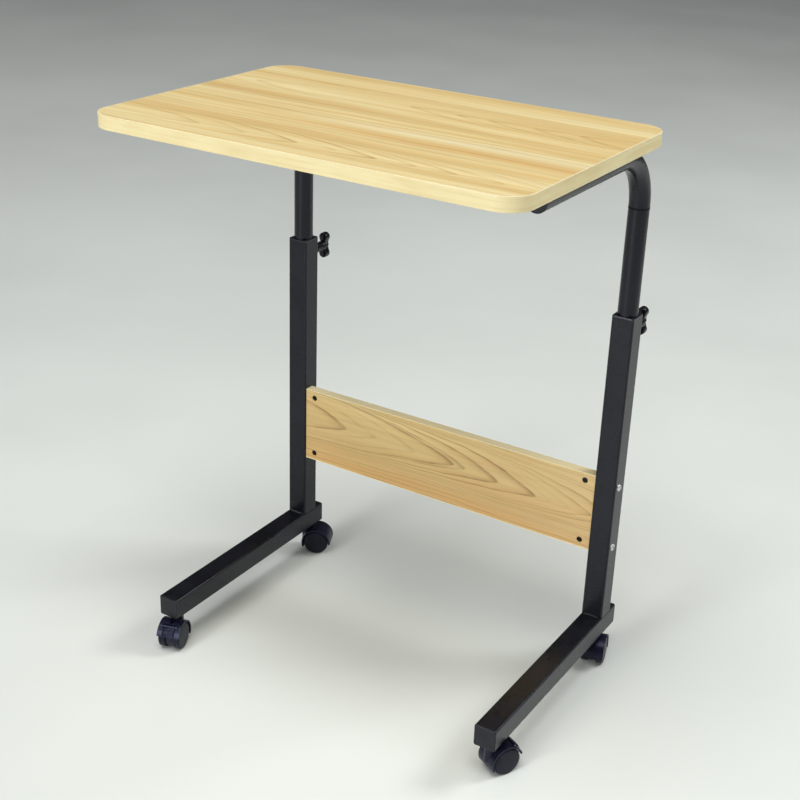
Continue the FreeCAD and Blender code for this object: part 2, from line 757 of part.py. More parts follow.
def make_clamp_knob(side_name, place_x, rear_face):
    """Two-lobed wing on a round hub; the hub faces the post."""
    body = new_body(side_name + "_clamp_knob")
    wing = new_sketch(body, side_name + "_wing", "XZ_Plane")
    draw_wing(wing)
    plate = add_pad(body, wing, "wing_thickness", backwards=True)
    add_fillet(body, plate, "wing_arris", is_across_y)
    hub = new_sketch(body, side_name + "_hub", "XZ_Plane")
    draw_circle(hub, "hub_diameter")
    add_pad(body, hub, "hub_length")
    bore = new_sketch(body, side_name + "_knob_bore", "XZ_Plane", (0.0, 0.0, size("stud_end") - 0.5))
    draw_circle(bore, "stud_diameter + 2 * nut_gap")
    add_pocket(body, bore, "hub_length", backwards=True)
    base_y = rear_face + size("knob_base")
    finish_subpart(body, side_name + "_clamp_knob", place_x, base_y, size("clamp_z"))


def draw_wing(sketch):
    """Two round lobes above and below the origin, joined by hollow flanks."""
    lobe, offset, waist = size("lobe_radius"), size("lobe_offset"), size("waist_radius")
    flank_x = math.sqrt((lobe + waist) ** 2 - offset ** 2)
    share = lobe / (lobe + waist)
    joint_x, joint_z = flank_x * share, offset * (1 - share)
    top = FreeCAD.Vector(0, offset + lobe, 0)
    flank = FreeCAD.Vector(flank_x - waist, 0, 0)
    quadrants = ((1, 1), (-1, 1), (-1, -1), (1, -1))
    joints = [FreeCAD.Vector(sx * joint_x, sy * joint_z, 0) for sx, sy in quadrants]
    arcs = (
        (joints[0], top, joints[1]),
        (joints[1], -flank, joints[2]),
        (joints[2], -top, joints[3]),
        (joints[3], flank, joints[0]),
    )
    for start, middle, end in arcs:
        sketch.addGeometry(Part.Arc(start, middle, end))
    named(sketch, "lobe", Sketcher.Constraint("Radius", 0, lobe), "lobe_radius")
    sketch.addConstraint(Sketcher.Constraint("Equal", 0, 2))
    named(sketch, "waist", Sketcher.Constraint("Radius", 1, waist), "waist_radius")
    sketch.addConstraint(Sketcher.Constraint("Equal", 1, 3))
    sketch.addConstraint(Sketcher.Constraint("PointOnObject", 0, 3, -2))
    sketch.addConstraint(Sketcher.Constraint("Symmetric", 0, 3, 2, 3, -1, 1))
    named(sketch, "offset", Sketcher.Constraint("DistanceY", -1, 1, 0, 3, offset), "lobe_offset")
    for first, end_point, second, start_point in joint_pairs():
        sketch.addConstraint(Sketcher.Constraint("Tangent", first, end_point, second, start_point))


def joint_pairs():
    """Which ends of the wing's four arcs meet; a three-point arc always runs anticlockwise."""
    return ((0, 2, 1, 2), (1, 1, 2, 1), (2, 2, 3, 2), (3, 1, 0, 1))


# ---------------------------------------------------------------- casters

def about_axle(start=0.0):
    """Turn a cylinder so that its axis runs to -Y and its sweep starts at an angle above +X."""
    return TO_MINUS_Y.multiply(FreeCAD.Rotation(Z_AXIS, start))


def drum(name, radius, width, start=0.0, sweep="360", shift=0.0):
    """A cylinder or sector about the axle, centred between the wheels."""
    base = (size("caster_trail"), evaluate(width) / 2 + shift, size("wheel_radius"))
    return cylinder(name, radius, width, base, about_axle(start), sweep)


def caster_place(side, end_name):
    front_y, rear_y = caster_stations()
    return side * size("frame_spacing") / 2, front_y if end_name == "front" else rear_y


def make_caster_stem(name, x, y):
    """A threaded stem screwed into the foot, with a collar and the pin that the hood turns on."""
    body = new_body(name + "_caster_stem")
    profile = new_sketch(body, name + "_stem_profile", "XZ_Plane")
    draw_outline(profile, [
        ("0", "stem_pin_bottom"),
        ("stem_pin / 2", "stem_pin_bottom"),
        ("stem_pin / 2", "foot_underside - stem_collar_height"),
        ("stem_collar / 2", "foot_underside - stem_collar_height"),
        ("stem_collar / 2", "foot_underside"),
        ("stem_thread / 2", "foot_underside"),
        ("stem_thread / 2", "stem_top"),
        ("0", "stem_top"),
    ])
    add_revolution(body, profile)
    finish_subpart(body, name + "_caster_stem", x, y, 0.0)


def make_hood(name, x, y, turn, braked):
    """Fender over both wheels, a web between them, and the neck that turns on the stem."""
    prefix = "" if braked else "plain_"
    start, sweep = size(prefix + "hood_start"), prefix + "hood_sweep"
    shell = drum(name + "_shell", "hood_radius", "hood_width", start, sweep)
    hub = drum(name + "_web_hub", "web_hub", "web_width")
    web_top = drum(name + "_web_top", "hood_radius", "web_width", start, sweep)
    neck = cylinder(name + "_neck", "neck_diameter / 2", "neck_top - wheel_radius",
                    (0.0, 0.0, size("wheel_radius")))
    walls = [shell, hub, web_top, neck]
    if braked:
        walls.append(cylinder(name + "_lugs", "lever_lug / 2", "lever_pin_length",
                              lever_pin_base(), about_axle()))
    solid = fuse(name + "_hood_solid", walls)
    wells = []
    well_width = (size("hood_width") - size("web_width")) / 2 + size("hood_wall")
    for step in (-1, 1):
        well = drum(f"{name}_well{step + 1}", "wheel_radius + hood_gap", str(well_width),
                    shift=step * (size("web_width") + well_width) / 2)
        wells.append(well)
    wells.append(cylinder(name + "_pin_bore", "stem_pin / 2 + fit_gap", "neck_top",
                          (0.0, 0.0, size("stem_pin_bottom") - size("hood_gap"))))
    wells.append(drum(name + "_axle_bore", "axle_diameter / 2", "web_width + 2"))
    if braked:
        wells.extend(make_lever_window(name))
        wells.append(make_hood_slot(name))
    hood = cut(name + "_hood", solid, fuse(name + "_hood_hollows", wells))
    finish_subpart(hood, name + "_caster_hood", x, y, 0.0, turn)


def make_lever_window(name):
    """The gap in the fender that the brake lever fills, and the hole for its pin."""
    start = size("hood_start") - size("window_margin")
    sweep = "lever_pivot_angle - hood_start + 2.5 * window_margin"
    width = "lever_width + 2 * window_gap"
    outer = drum(name + "_window_outer", "2 * lever_radius", width, start, sweep)
    inner = drum(name + "_window_inner", "wheel_radius - hood_gap", "2 * lever_width")
    window = cut(name + "_window", outer, inner)
    pin_hole = cylinder(name + "_pin_hole", "lever_pin / 2", "lever_pin_length",
                        lever_pin_base(), about_axle())
    return [window, pin_hole]


def make_hood_slot(name):
    """A short slot in the top of the fender, along the middle."""
    start = size("hood_slot_start")
    outer = drum(name + "_slot_outer", "2 * hood_radius", "hood_slot_width", start, "hood_slot_sweep")
    inner = drum(name + "_slot_inner", "wheel_radius", "2 * hood_slot_width")
    return cut(name + "_slot", outer, inner)


def lever_pin_base():
    """Where the lever's pin starts, on the +Y side; it runs to -Y."""
    angle = math.radians(size("lever_pivot_angle"))
    reach = size("lever_pivot_radius")
    return (size("caster_trail") + reach * math.cos(angle), size("lever_pin_length") / 2,
            size("wheel_radius") + reach * math.sin(angle))


def make_brake(name, x, y, turn):
    """A curved lever in the fender's window, hinged on a pin, with a toe tab at its free end."""
    start = size("hood_start") + 1
    sweep = "lever_pivot_angle - hood_start - 1"
    plate = drum(name + "_lever_plate", "lever_radius", "lever_width", start, sweep)
    tab = drum(name + "_lever_tab", "lever_tab", "lever_width", start, "lever_tab_sweep")
    hollow = drum(name + "_lever_hollow", "lever_radius - lever_wall", "lever_width + 2")
    blade = cut(name + "_lever_blade", fuse(name + "_lever_outer", [plate, tab]), hollow)
    base = lever_pin_base()
    knuckle = cylinder(name + "_knuckle", "lever_knuckle / 2", "lever_width",
                       (base[0], size("lever_width") / 2, base[2]), about_axle())
    bore = cylinder(name + "_knuckle_bore", "lever_pin / 2 + lever_pin_gap", "lever_width + 2",
                    (base[0], size("lever_width") / 2 + 1, base[2]), about_axle())
    lever = cut(name + "_lever", fuse(name + "_lever_solid", [blade, knuckle]), bore)
    finish_subpart(lever, name + "_brake_lever", x, y, 0.0, turn)
    pin = cylinder(name + "_lever_pin", "lever_pin / 2", "lever_pin_length", base, about_axle())
    shift = pin.Placement.Base
    place = turn.multVec(shift) + FreeCAD.Vector(x, y, 0)
    finish_subpart(pin, name + "_brake_pin", place.x, place.y, place.z, turn.multiply(about_axle()))


def make_wheel(name, wheel_name, x, y, turn, step):
    """One of the twin wheels: a closed outer disc, a rolled rim and a hub with a blind bore."""
    body = new_body(f"{name}_{wheel_name}")
    profile = new_sketch(body, f"{name}_{wheel_name}_profile", "XZ_Plane")
    width = "wheel_outer - wheel_inner"
    draw_outline(profile, [
        ("axle_diameter / 2 + axle_gap", "0"),
        ("wheel_hub", "0"),
        ("wheel_hub", width + " - wheel_disc"),
        ("wheel_radius - wheel_rim", width + " - wheel_disc"),
        ("wheel_radius - wheel_rim", "0"),
        ("wheel_radius", "0"),
        ("wheel_radius", width),
        ("0", width),
        ("0", "axle_length / 2 - wheel_inner + axle_end_gap"),
        ("axle_diameter / 2 + axle_gap", "axle_length / 2 - wheel_inner + axle_end_gap"),
    ])
    turned = add_revolution(body, profile)
    outer = size("wheel_radius")
    add_fillet(body, turned, "wheel_round", lambda edge: is_tread_rim(edge, outer))
    centre = FreeCAD.Vector(size("caster_trail"), step * size("wheel_inner"), size("wheel_radius"))
    place = turn.multVec(centre) + FreeCAD.Vector(x, y, 0)
    facing = turn.multiply(TO_PLUS_Y if step > 0 else TO_MINUS_Y)
    finish_subpart(body, f"{name}_{wheel_name}", place.x, place.y, place.z, facing)


def is_tread_rim(edge, radius):
    return edge.Curve.TypeId == "Part::GeomCircle" and abs(edge.Curve.Radius - radius) < TINY


def make_axle(name, x, y, turn):
    body = new_body(name + "_caster_axle")
    ring = new_sketch(body, name + "_axle_end", "XZ_Plane")
    draw_circle(ring, "axle_diameter")
    add_pad(body, ring, "axle_length", both_ways=True)
    centre = turn.multVec(FreeCAD.Vector(size("caster_trail"), 0, size("wheel_radius")))
    finish_subpart(body, name + "_caster_axle", x + centre.x, y + centre.y, centre.z, turn)


def make_foot_nuts():
    """Nuts welded inside the feet, which the stems screw into."""
    nuts = []
    for name, (side, end_name, heading, braked) in CASTERS.items():
        x, y = caster_place(side, end_name)
        floor_z = size("foot_underside") + size("tube_wall")
        prism = doc.addObject("Part::Prism", name + "_foot_prism")
        prism.Polygon = 6
        bind(prism, "Circumradius", "foot_nut / sqrt(3)")
        bind(prism, "Height", "foot_nut_height")
        prism.Placement = FreeCAD.Placement(FreeCAD.Vector(x, y, floor_z), NO_TURN)
        thread = cylinder(name + "_foot_thread", "stem_thread / 2 + thread_gap", "3 * foot_nut_height",
                          (x, y, floor_z - size("foot_nut_height")))
        nuts.append(cut(name + "_foot_nut", prism, thread))
    finish_subpart(compound("foot_nut_group", nuts), "foot_weld_nuts")


def make_caster(name, side, end_name, heading, braked):
    x, y = caster_place(side, end_name)
    turn = FreeCAD.Rotation(Z_AXIS, heading)
    make_caster_stem(name, x, y)
    make_hood(name, x, y, turn, braked)
    make_axle(name, x, y, turn)
    make_wheel(name, "wheel_a", x, y, turn, -1)
    make_wheel(name, "wheel_b", x, y, turn, 1)
    if braked:
        make_brake(name, x, y, turn)


# ---------------------------------------------------------------- build and write

def check_and_write():
    """Stop on any failed object, then write one STEP file per sub-part."""
    doc.recompute()
    for thing in doc.Objects:
        if "Invalid" in thing.State or "Error" in thing.State:
            raise ValueError(f"{thing.Name} failed: {thing.State}")
    os.makedirs("parts", exist_ok=True)
    for thing in subparts:
        shape = thing.Shape
        if shape.isNull() or not shape.isValid() or not shape.Solids:
            raise ValueError(f"{thing.Label} has no valid solid")
    for thing in subparts:
        thing.Shape.exportStep(f"parts/{thing.Label}.step")
    box = Part.makeCompound([thing.Shape for thing in subparts]).optimalBoundingBox(False)
    print(f"{len(subparts)} sub-parts, X {box.XMin:.2f} {box.XMax:.2f}, "
          f"Y {box.YMin:.2f} {box.YMax:.2f}, Z {box.ZMin:.2f} {box.ZMax:.2f}")


make_tabletop_board()
make_tabletop_edge_band()
make_tabletop_screws()
make_rear_panel_board()
make_rear_panel_bands()
make_panel_fixings()
make_post_welds()
make_foot_nuts()
for side_name, side in SIDES.items():
    make_mast(side_name, side)
    make_mast_plugs(side_name, side)
    make_foot(side_name, side)
    make_foot_cap(side_name, side, "front", -1)
    make_foot_cap(side_name, side, "rear", 1)
    make_post(side_name, side)
    make_post_bush(side_name, side)
    make_clamp(side_name, side)
for caster_name, details in CASTERS.items():
    make_caster(caster_name, *details)
check_and_write()
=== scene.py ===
"""Looks of the overbed table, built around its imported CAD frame. Lengths are in metres."""

import json
import math

import bmesh
import bpy
from mathutils import Matrix, Vector


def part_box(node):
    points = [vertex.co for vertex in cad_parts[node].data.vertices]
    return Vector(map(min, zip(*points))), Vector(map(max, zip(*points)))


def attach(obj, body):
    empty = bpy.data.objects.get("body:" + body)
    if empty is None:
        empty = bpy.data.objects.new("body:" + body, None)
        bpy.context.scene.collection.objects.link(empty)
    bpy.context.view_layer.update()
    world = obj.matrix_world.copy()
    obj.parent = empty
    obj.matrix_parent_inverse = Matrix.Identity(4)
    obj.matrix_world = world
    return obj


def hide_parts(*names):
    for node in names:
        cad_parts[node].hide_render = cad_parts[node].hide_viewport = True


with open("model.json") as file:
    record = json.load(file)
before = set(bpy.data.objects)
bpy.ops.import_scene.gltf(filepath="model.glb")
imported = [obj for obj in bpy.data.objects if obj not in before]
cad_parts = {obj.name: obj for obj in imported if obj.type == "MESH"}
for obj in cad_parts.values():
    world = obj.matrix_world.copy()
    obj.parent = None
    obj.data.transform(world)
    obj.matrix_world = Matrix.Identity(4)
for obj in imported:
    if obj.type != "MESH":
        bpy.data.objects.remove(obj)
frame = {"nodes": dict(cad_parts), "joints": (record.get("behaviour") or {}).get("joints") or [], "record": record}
NODES = frame["nodes"]
JOINTS = {joint["name"]: joint for joint in frame["joints"]}
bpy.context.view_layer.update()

MM = 0.001
X_AXIS, Y_AXIS, Z_AXIS = Vector((1, 0, 0)), Vector((0, 1, 0)), Vector((0, 0, 1))
SIDES = ("left", "right")
CASTERS = ("front_left", "front_right", "rear_left", "rear_right")
BRAKED = ("front_left", "front_right")


# ---------------------------------------------------------------- camera, floor and light

CAMERA_SPOT = (0.921649, -1.467311, 1.207795)
CAMERA_HEADING = 31.095      # degrees from +Y towards -X
CAMERA_PITCH = 24.519        # degrees below the horizon
CAMERA_ROLL = 2.231
CAMERA_LENS = 62.795
CAMERA_SENSOR = 36.0
CAMERA_SHIFT = (-0.01223, -0.00144)
CAMERA_REACH = 60.0

WORLD_COLOUR, WORLD_STRENGTH = (0.80, 0.82, 0.88, 1.0), 0.10
SOFTBOXES = (
    # name, place, aim, width, height, watts, colour
    ("overhead", (0.5, -2.6, 8.0), (0.0, 0.0, 0.3), 5.5, 4.5, 518.0, (1.0, 1.0, 0.99)),
    ("front", (-0.7, -3.4, 1.5), (0.0, 0.0, 0.45), 1.1, 2.2, 64.0, (0.98, 0.99, 1.0)),
    ("side", (3.4, -0.6, 1.7), (0.0, 0.0, 0.4), 1.6, 1.8, 9.0, (0.99, 1.0, 1.0)),
    ("rear", (2.6, 2.6, 3.4), (0.0, 0.0, 0.4), 1.6, 1.6, 100.0, (0.99, 1.0, 1.0)),
)
FLOOR_REACH = 14.0


def make_camera():
    camera = bpy.data.cameras.new("camera")
    camera.lens = CAMERA_LENS
    camera.sensor_width = CAMERA_SENSOR
    camera.shift_x, camera.shift_y = CAMERA_SHIFT
    camera.clip_end = CAMERA_REACH
    holder = bpy.data.objects.new("camera", camera)
    turn = Matrix.Rotation(math.radians(CAMERA_HEADING), 4, "Z")
    turn @= Matrix.Rotation(math.radians(90 - CAMERA_PITCH), 4, "X")
    turn @= Matrix.Rotation(math.radians(CAMERA_ROLL), 4, "Z")
    holder.matrix_world = Matrix.Translation(CAMERA_SPOT) @ turn
    bpy.context.scene.collection.objects.link(holder)
    bpy.context.scene.camera = holder


def make_softbox(name, spot, target, width, height, power, colour):
    light = bpy.data.lights.new(name, "AREA")
    light.shape = "RECTANGLE"
    light.size, light.size_y = width, height
    light.energy = power
    light.color = colour
    holder = bpy.data.objects.new(name, light)
    holder.location = spot
    holder.rotation_euler = (Vector(target) - Vector(spot)).to_track_quat("-Z", "Y").to_euler()
    bpy.context.scene.collection.objects.link(holder)


def make_studio():
    bpy.context.scene.view_settings.view_transform = "Standard"
    world = bpy.data.worlds.new("studio")
    world.use_nodes = True
    background = world.node_tree.nodes["Background"]
    background.inputs["Color"].default_value = WORLD_COLOUR
    background.inputs["Strength"].default_value = WORLD_STRENGTH
    bpy.context.scene.world = world
    for softbox in SOFTBOXES:
        make_softbox(*softbox)


def make_floor():
    mesh = bpy.data.meshes.new("floor")
    corners = [(x * FLOOR_REACH, y * FLOOR_REACH, 0) for x, y in ((-1, -1), (1, -1), (1, 1), (-1, 1))]
    mesh.from_pydata(corners, [], [(0, 1, 2, 3)])
    floor = bpy.data.objects.new("floor", mesh)
    mesh.materials.append(make_floor_finish())
    bpy.context.scene.collection.objects.link(floor)


# ---------------------------------------------------------------- shader building

class Shader:
    """One node material; its methods add nodes and return their output sockets."""

    def __init__(self, name):
        self.material = bpy.data.materials.new(name)
        self.material.use_nodes = True
        self.tree = self.material.node_tree
        self.surface = self.tree.nodes["Principled BSDF"]
        self.place = self.node("ShaderNodeTexCoord").outputs["Object"]
        split = self.node("ShaderNodeSeparateXYZ")
        self.feed(split.inputs[0], self.place)
        self.axis = dict(zip("xyz", split.outputs))

    def node(self, kind, **settings):
        made = self.tree.nodes.new(kind)
        for name, value in settings.items():
            setattr(made, name, value)
        return made

    def feed(self, socket, value):
        if isinstance(value, bpy.types.NodeSocket):
            self.tree.links.new(value, socket)
        else:
            socket.default_value = value

    def math(self, operation, *values, clamp=False):
        made = self.node("ShaderNodeMath", operation=operation, use_clamp=clamp)
        for socket, value in zip(made.inputs, values):
            self.feed(socket, value)
        return made.outputs[0]

    def between(self, outside, inside, share):
        """From outside to inside by the share, kept within 0 and 1."""
        step = self.math("SUBTRACT", inside, outside)
        return self.math("MULTIPLY_ADD", step, share, outside, clamp=True)

    def join(self, x, y, z, offset=0.0):
        """A place from three coordinates; an offset moves it to another part of the noise."""
        made = self.node("ShaderNodeCombineXYZ")
        for socket, value in zip(made.inputs, (x, y, z)):
            self.feed(socket, value)
        if offset == 0.0:
            return made.outputs[0]
        shift = self.node("ShaderNodeVectorMath", operation="ADD")
        self.feed(shift.inputs[0], made.outputs[0])
        shift.inputs[1].default_value = (offset, offset * 1.7, offset * 0.6)
        return shift.outputs[0]

    def stretch(self, x, y, z, offset=0.0):
        """The object's own place with each axis stretched."""
        parts = [self.math("MULTIPLY", self.axis[name], scale) for name, scale in zip("xyz", (x, y, z))]
        return self.join(*parts, offset=offset)

    def on_board(self, along, across, along_scale, across_scale, depth, offset=0.0):
        """A place on a board, stretched each way; depth picks another layer of the noise."""
        return self.join(self.math("MULTIPLY", along, along_scale),
                         self.math("MULTIPLY", across, across_scale), depth, offset)

    def noise(self, place, scale=1.0, detail=2.0, rough=0.5):
        made = self.node("ShaderNodeTexNoise")
        self.feed(made.inputs["Vector"], place)
        made.inputs["Scale"].default_value = scale
        made.inputs["Detail"].default_value = detail
        made.inputs["Roughness"].default_value = rough
        return made.outputs["Fac"]

    def remap(self, value, low, high, to_low=0.0, to_high=1.0, smooth=True):
        made = self.node("ShaderNodeMapRange")
        made.interpolation_type = "SMOOTHSTEP" if smooth else "LINEAR"
        made.inputs["From Min"].default_value = low
        made.inputs["From Max"].default_value = high
        made.inputs["To Min"].default_value = to_low
        made.inputs["To Max"].default_value = to_high
        self.feed(made.inputs["Value"], value)
        return made.outputs["Result"]

    def mix(self, share, first, second):
        made = self.node("ShaderNodeMix", data_type="RGBA")
        self.feed(made.inputs[0], share)
        for index, value in ((6, first), (7, second)):
            fixed = not isinstance(value, bpy.types.NodeSocket)
            self.feed(made.inputs[index], (*value, 1.0) if fixed else value)
        return made.outputs[2]

    def stain(self, ground, where, share, colour):
        """The ground with a share of a colour laid over it where the mask says."""
        return self.mix(self.math("MULTIPLY", where, share), ground, colour)

    def ramp(self, value, stops):
        made = self.node("ShaderNodeValToRGB")
        band = made.color_ramp
        while len(band.elements) < len(stops):
            band.elements.new(0.5)
        for element, (position, colour) in zip(band.elements, stops):
            element.position = position
            element.color = (*colour, 1.0)
        self.feed(made.inputs[0], value)
        return made.outputs["Color"]

    def bump(self, height, distance, strength):
        made = self.node("ShaderNodeBump")
        made.inputs["Strength"].default_value = strength
        made.inputs["Distance"].default_value = distance
        self.feed(made.inputs["Height"], height)
        self.feed(self.surface.inputs["Normal"], made.outputs["Normal"])

    def set(self, **values):
        for name, value in values.items():
            if isinstance(value, tuple):
                value = (*value, 1.0)
            self.feed(self.surface.inputs[name.replace("_", " ")], value)


def srgb(*channels):
    """Linear colour of a screen colour given from 0 to 255."""
    return tuple(((c / 255 + 0.055) / 1.055) ** 2.4 if c > 10 else c / 255 / 12.92 for c in channels)


# ---------------------------------------------------------------- wood

BLACK = (0.0, 0.0, 0.0)
TIP_RADIUS = 4 * MM
STEEPEST_SHARE = 0.93        # share of an arch's reach beyond which its flank gets no steeper
FIBRE_CONTRAST = 0.050
WOOD_IOR = 1.48


def arch_field(shader, along, off_axis, below, above):
    """A field whose level lines are arches pointing along +X, and how far out in the figure a place is.

    below and above are the (slope, reach) of the arches on each side of their axis."""
    side = shader.remap(off_axis, -4 * MM, 4 * MM)
    slope = shader.math("MULTIPLY_ADD", side, above[0] - below[0], below[0])
    reach = shader.math("MULTIPLY_ADD", side, above[1] - below[1], below[1])
    share = shader.math("DIVIDE", shader.math("ABSOLUTE", off_axis), reach)
    near = shader.math("MINIMUM", share, STEEPEST_SHARE)
    room = shader.math("SUBTRACT", 1.0, shader.math("MULTIPLY", near, near))
    square = shader.math("MULTIPLY_ADD", off_axis, off_axis, TIP_RADIUS * TIP_RADIUS)
    away = shader.math("SUBTRACT", shader.math("SQRT", square), TIP_RADIUS)
    lag = shader.math("DIVIDE", shader.math("MULTIPLY", away, slope), room)
    return shader.math("ADD", along, lag), share


def arch_lines(shader, field, start, end, tips, rise, fall):
    """Dark lines where the field passes each (place, strength), soft before it and sharp after."""
    length = end - start
    stops = [(0.0, BLACK)]
    for place, strength in tips:
        share = (place - start) / length
        stops += [(share - rise / length, BLACK), (share, (strength,) * 3), (share + fall / length, BLACK)]
    return shader.ramp(shader.remap(field, start, end, smooth=False), stops)


def growth_rings(shader, field, period, seed):
    """Rings along a field: a slow darkening that ends in a thin line, each ring its own strength."""
    place = shader.join(shader.math("MULTIPLY", field, 0.45 / period), seed, 0.0)
    drift = shader.math("MULTIPLY", shader.noise(place, 1.0, 1.0), 2.2)
    count = shader.math("ADD", shader.math("DIVIDE", field, period), drift)
    saw = shader.math("FRACT", count)
    each = shader.node("ShaderNodeTexWhiteNoise", noise_dimensions="1D")
    shader.feed(each.inputs["W"], shader.math("ADD", shader.math("FLOOR", count), seed))
    strength = shader.math("MULTIPLY_ADD", each.outputs["Value"], 0.8, 0.2)
    edge = shader.remap(saw, 1.0, 0.94)
    line = shader.math("MULTIPLY", shader.math("POWER", saw, 7.0), edge)
    shade = shader.math("MULTIPLY", shader.math("POWER", saw, 2.2), edge)
    return shader.math("MULTIPLY", line, strength), shader.math("MULTIPLY", shade, strength)


def uneven(shader, line, along, across):
    """A line whose strength fades and comes back along its length."""
    patches = shader.noise(shader.on_board(along, across, 20.0, 90.0, 5.0), 1.0, 2.0)
    return shader.math("MULTIPLY", line, shader.remap(patches, 0.36, 0.62, 0.45, 1.0))


def warp(shader, along, across, coarse, fine, seed):
    """The across coordinate, gently wandering along the board."""
    slow = shader.noise(shader.on_board(along, across, 3.2, 11.0, seed), 1.0, 2.0)
    quick = shader.noise(shader.on_board(along, across, 16.0, 55.0, seed + 4.0), 1.0, 2.0)
    wandering = shader.math("MULTIPLY_ADD", shader.math("SUBTRACT", slow, 0.5), coarse, across)
    return shader.math("MULTIPLY_ADD", shader.math("SUBTRACT", quick, 0.5), fine, wandering)


def stripe(shader, along, across, centre, width, start, end):
    """Where a soft stripe along the board lies; it fades in from start to end."""
    off = shader.math("ABSOLUTE", shader.math("SUBTRACT", across, centre))
    return shader.math("MULTIPLY", shader.remap(off, width, 0.0), shader.remap(along, start, end))


def board_axes(shader, node, across_name):
    """Along and across coordinates from the middle of a board."""
    low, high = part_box(node)
    middle = (low + high) / 2
    along = shader.math("SUBTRACT", shader.axis["x"], middle.x)
    across = shader.math("SUBTRACT", shader.axis[across_name], middle["xyz".index(across_name)])
    return along, across


def finish_wood(shader, along, across, ground):
    """Streaks, fine fibres and short pores over the ground, in the colour and as a shallow relief."""
    streaks = shader.noise(shader.on_board(along, across, 3.0, 170.0, 7.7), 1.0, 3.0, 0.6)
    fibres = shader.noise(shader.on_board(along, across, 14.0, 750.0, 0.0), 1.0, 3.0, 0.6)
    pores = shader.noise(shader.on_board(along, across, 85.0, 1900.0, 0.0, 3.1), 1.0, 1.0)
    pore = shader.remap(pores, 0.62, 0.74)
    fibre_light = shader.remap(fibres, 0.25, 0.75, 1.0 - FIBRE_CONTRAST, 1.0 + FIBRE_CONTRAST, smooth=False)
    streak_light = shader.remap(streaks, 0.28, 0.72, -1.6 * FIBRE_CONTRAST, 1.4 * FIBRE_CONTRAST,
                                smooth=False)
    light = shader.math("ADD", fibre_light, streak_light)
    light = shader.math("MULTIPLY_ADD", pore, -1.6 * FIBRE_CONTRAST, light)
    shaded = shader.node("ShaderNodeVectorMath", operation="MULTIPLY")
    shader.feed(shaded.inputs[0], ground)
    shader.feed(shaded.inputs[1], shader.join(light, light, light))
    relief = shader.math("SUBTRACT", shader.math("MULTIPLY", fibres, 0.4), pore)
    shader.bump(relief, 0.04 * MM, 0.55)
    rough = shader.math("MULTIPLY_ADD", fibres, 0.14, 0.33)
    shader.set(Base_Color=shaded.outputs[0], Roughness=shader.math("MULTIPLY_ADD", pore, 0.08, rough),
               IOR=WOOD_IOR)


PANEL_SPAN = (-0.26, 0.18)   # the stretch of the field that carries arches
PANEL_TIPS = ((-0.176, 0.95), (-0.120, 0.30), (-0.050, 0.35), (0.019, 0.95), (0.038, 0.75), (0.094, 0.90),
              (0.157, 1.0))
PANEL_BROAD_TIPS = PANEL_TIPS[:1] + PANEL_TIPS[3:4] + PANEL_TIPS[5:]
PANEL_TONES = ((0.30, srgb(234, 207, 146)), (0.46, srgb(226, 195, 133)),
               (0.60, srgb(218, 184, 121)), (0.75, srgb(220, 180, 119)))


def make_panel_wood():
    """Tan laminate whose cathedral figure points to +X."""
    shader = Shader("panel_wood")
    along, across = board_axes(shader, "rear_panel_board", "z")
    wandering = warp(shader, along, across, 0.021, 0.0060, 1.3)
    axis = shader.math("MULTIPLY_ADD", along, -0.030, 0.0055)
    off_axis = shader.math("SUBTRACT", wandering, axis)
    field, share = arch_field(shader, along, off_axis, (5.2, 0.050), (2.5, 0.056))
    inside = shader.remap(share, 1.02, 0.86)

    sharp = arch_lines(shader, field, *PANEL_SPAN, PANEL_TIPS, 0.0150, 0.0050)
    broad = arch_lines(shader, field, *PANEL_SPAN, PANEL_BROAD_TIPS, 0.036, 0.0040)
    outer_line, outer_shade = growth_rings(shader, shader.math("MAXIMUM", field, 0.165), 0.044, 7.4)
    leaning = shader.math("MULTIPLY_ADD", along, 0.006, wandering)
    straight_line, straight_shade = growth_rings(shader, leaning, 0.0068, 2.6)
    arched_line = shader.math("ADD", sharp, shader.math("MULTIPLY", outer_line, 1.1))
    arched_shade = shader.math("ADD", broad, outer_shade)
    line = shader.between(straight_line, arched_line, inside)
    shade = shader.between(straight_shade, arched_shade, inside)

    tone = shader.noise(shader.on_board(field, across, 2.2, 12.0, 2.0), 1.0, 2.0)
    ground = shader.ramp(tone, PANEL_TONES)
    ground = shader.stain(ground, shader.remap(along, 0.02, 0.24), 0.5, srgb(226, 199, 146))
    low_edge = shader.remap(shader.math("MULTIPLY_ADD", along, 0.04, across), -0.024, -0.052)
    low_streaks = shader.remap(shader.noise(shader.stretch(3.0, 1.0, 60.0, 6.2)), 0.38, 0.60)
    glow = shader.math("MULTIPLY", low_edge, low_streaks)
    ground = shader.stain(ground, glow, 0.55, srgb(226, 170, 102))
    warm = shader.remap(shader.noise(shader.stretch(2.2, 1.0, 44.0, 6.2)), 0.55, 0.70)
    ground = shader.stain(ground, warm, 0.30, srgb(220, 174, 112))
    ground = shader.stain(ground, shade, 0.50, srgb(195, 151, 89))
    ground = shader.stain(ground, uneven(shader, line, along, across), 0.78, srgb(148, 108, 60))
    finish_wood(shader, along, across, ground)
    return shader.material


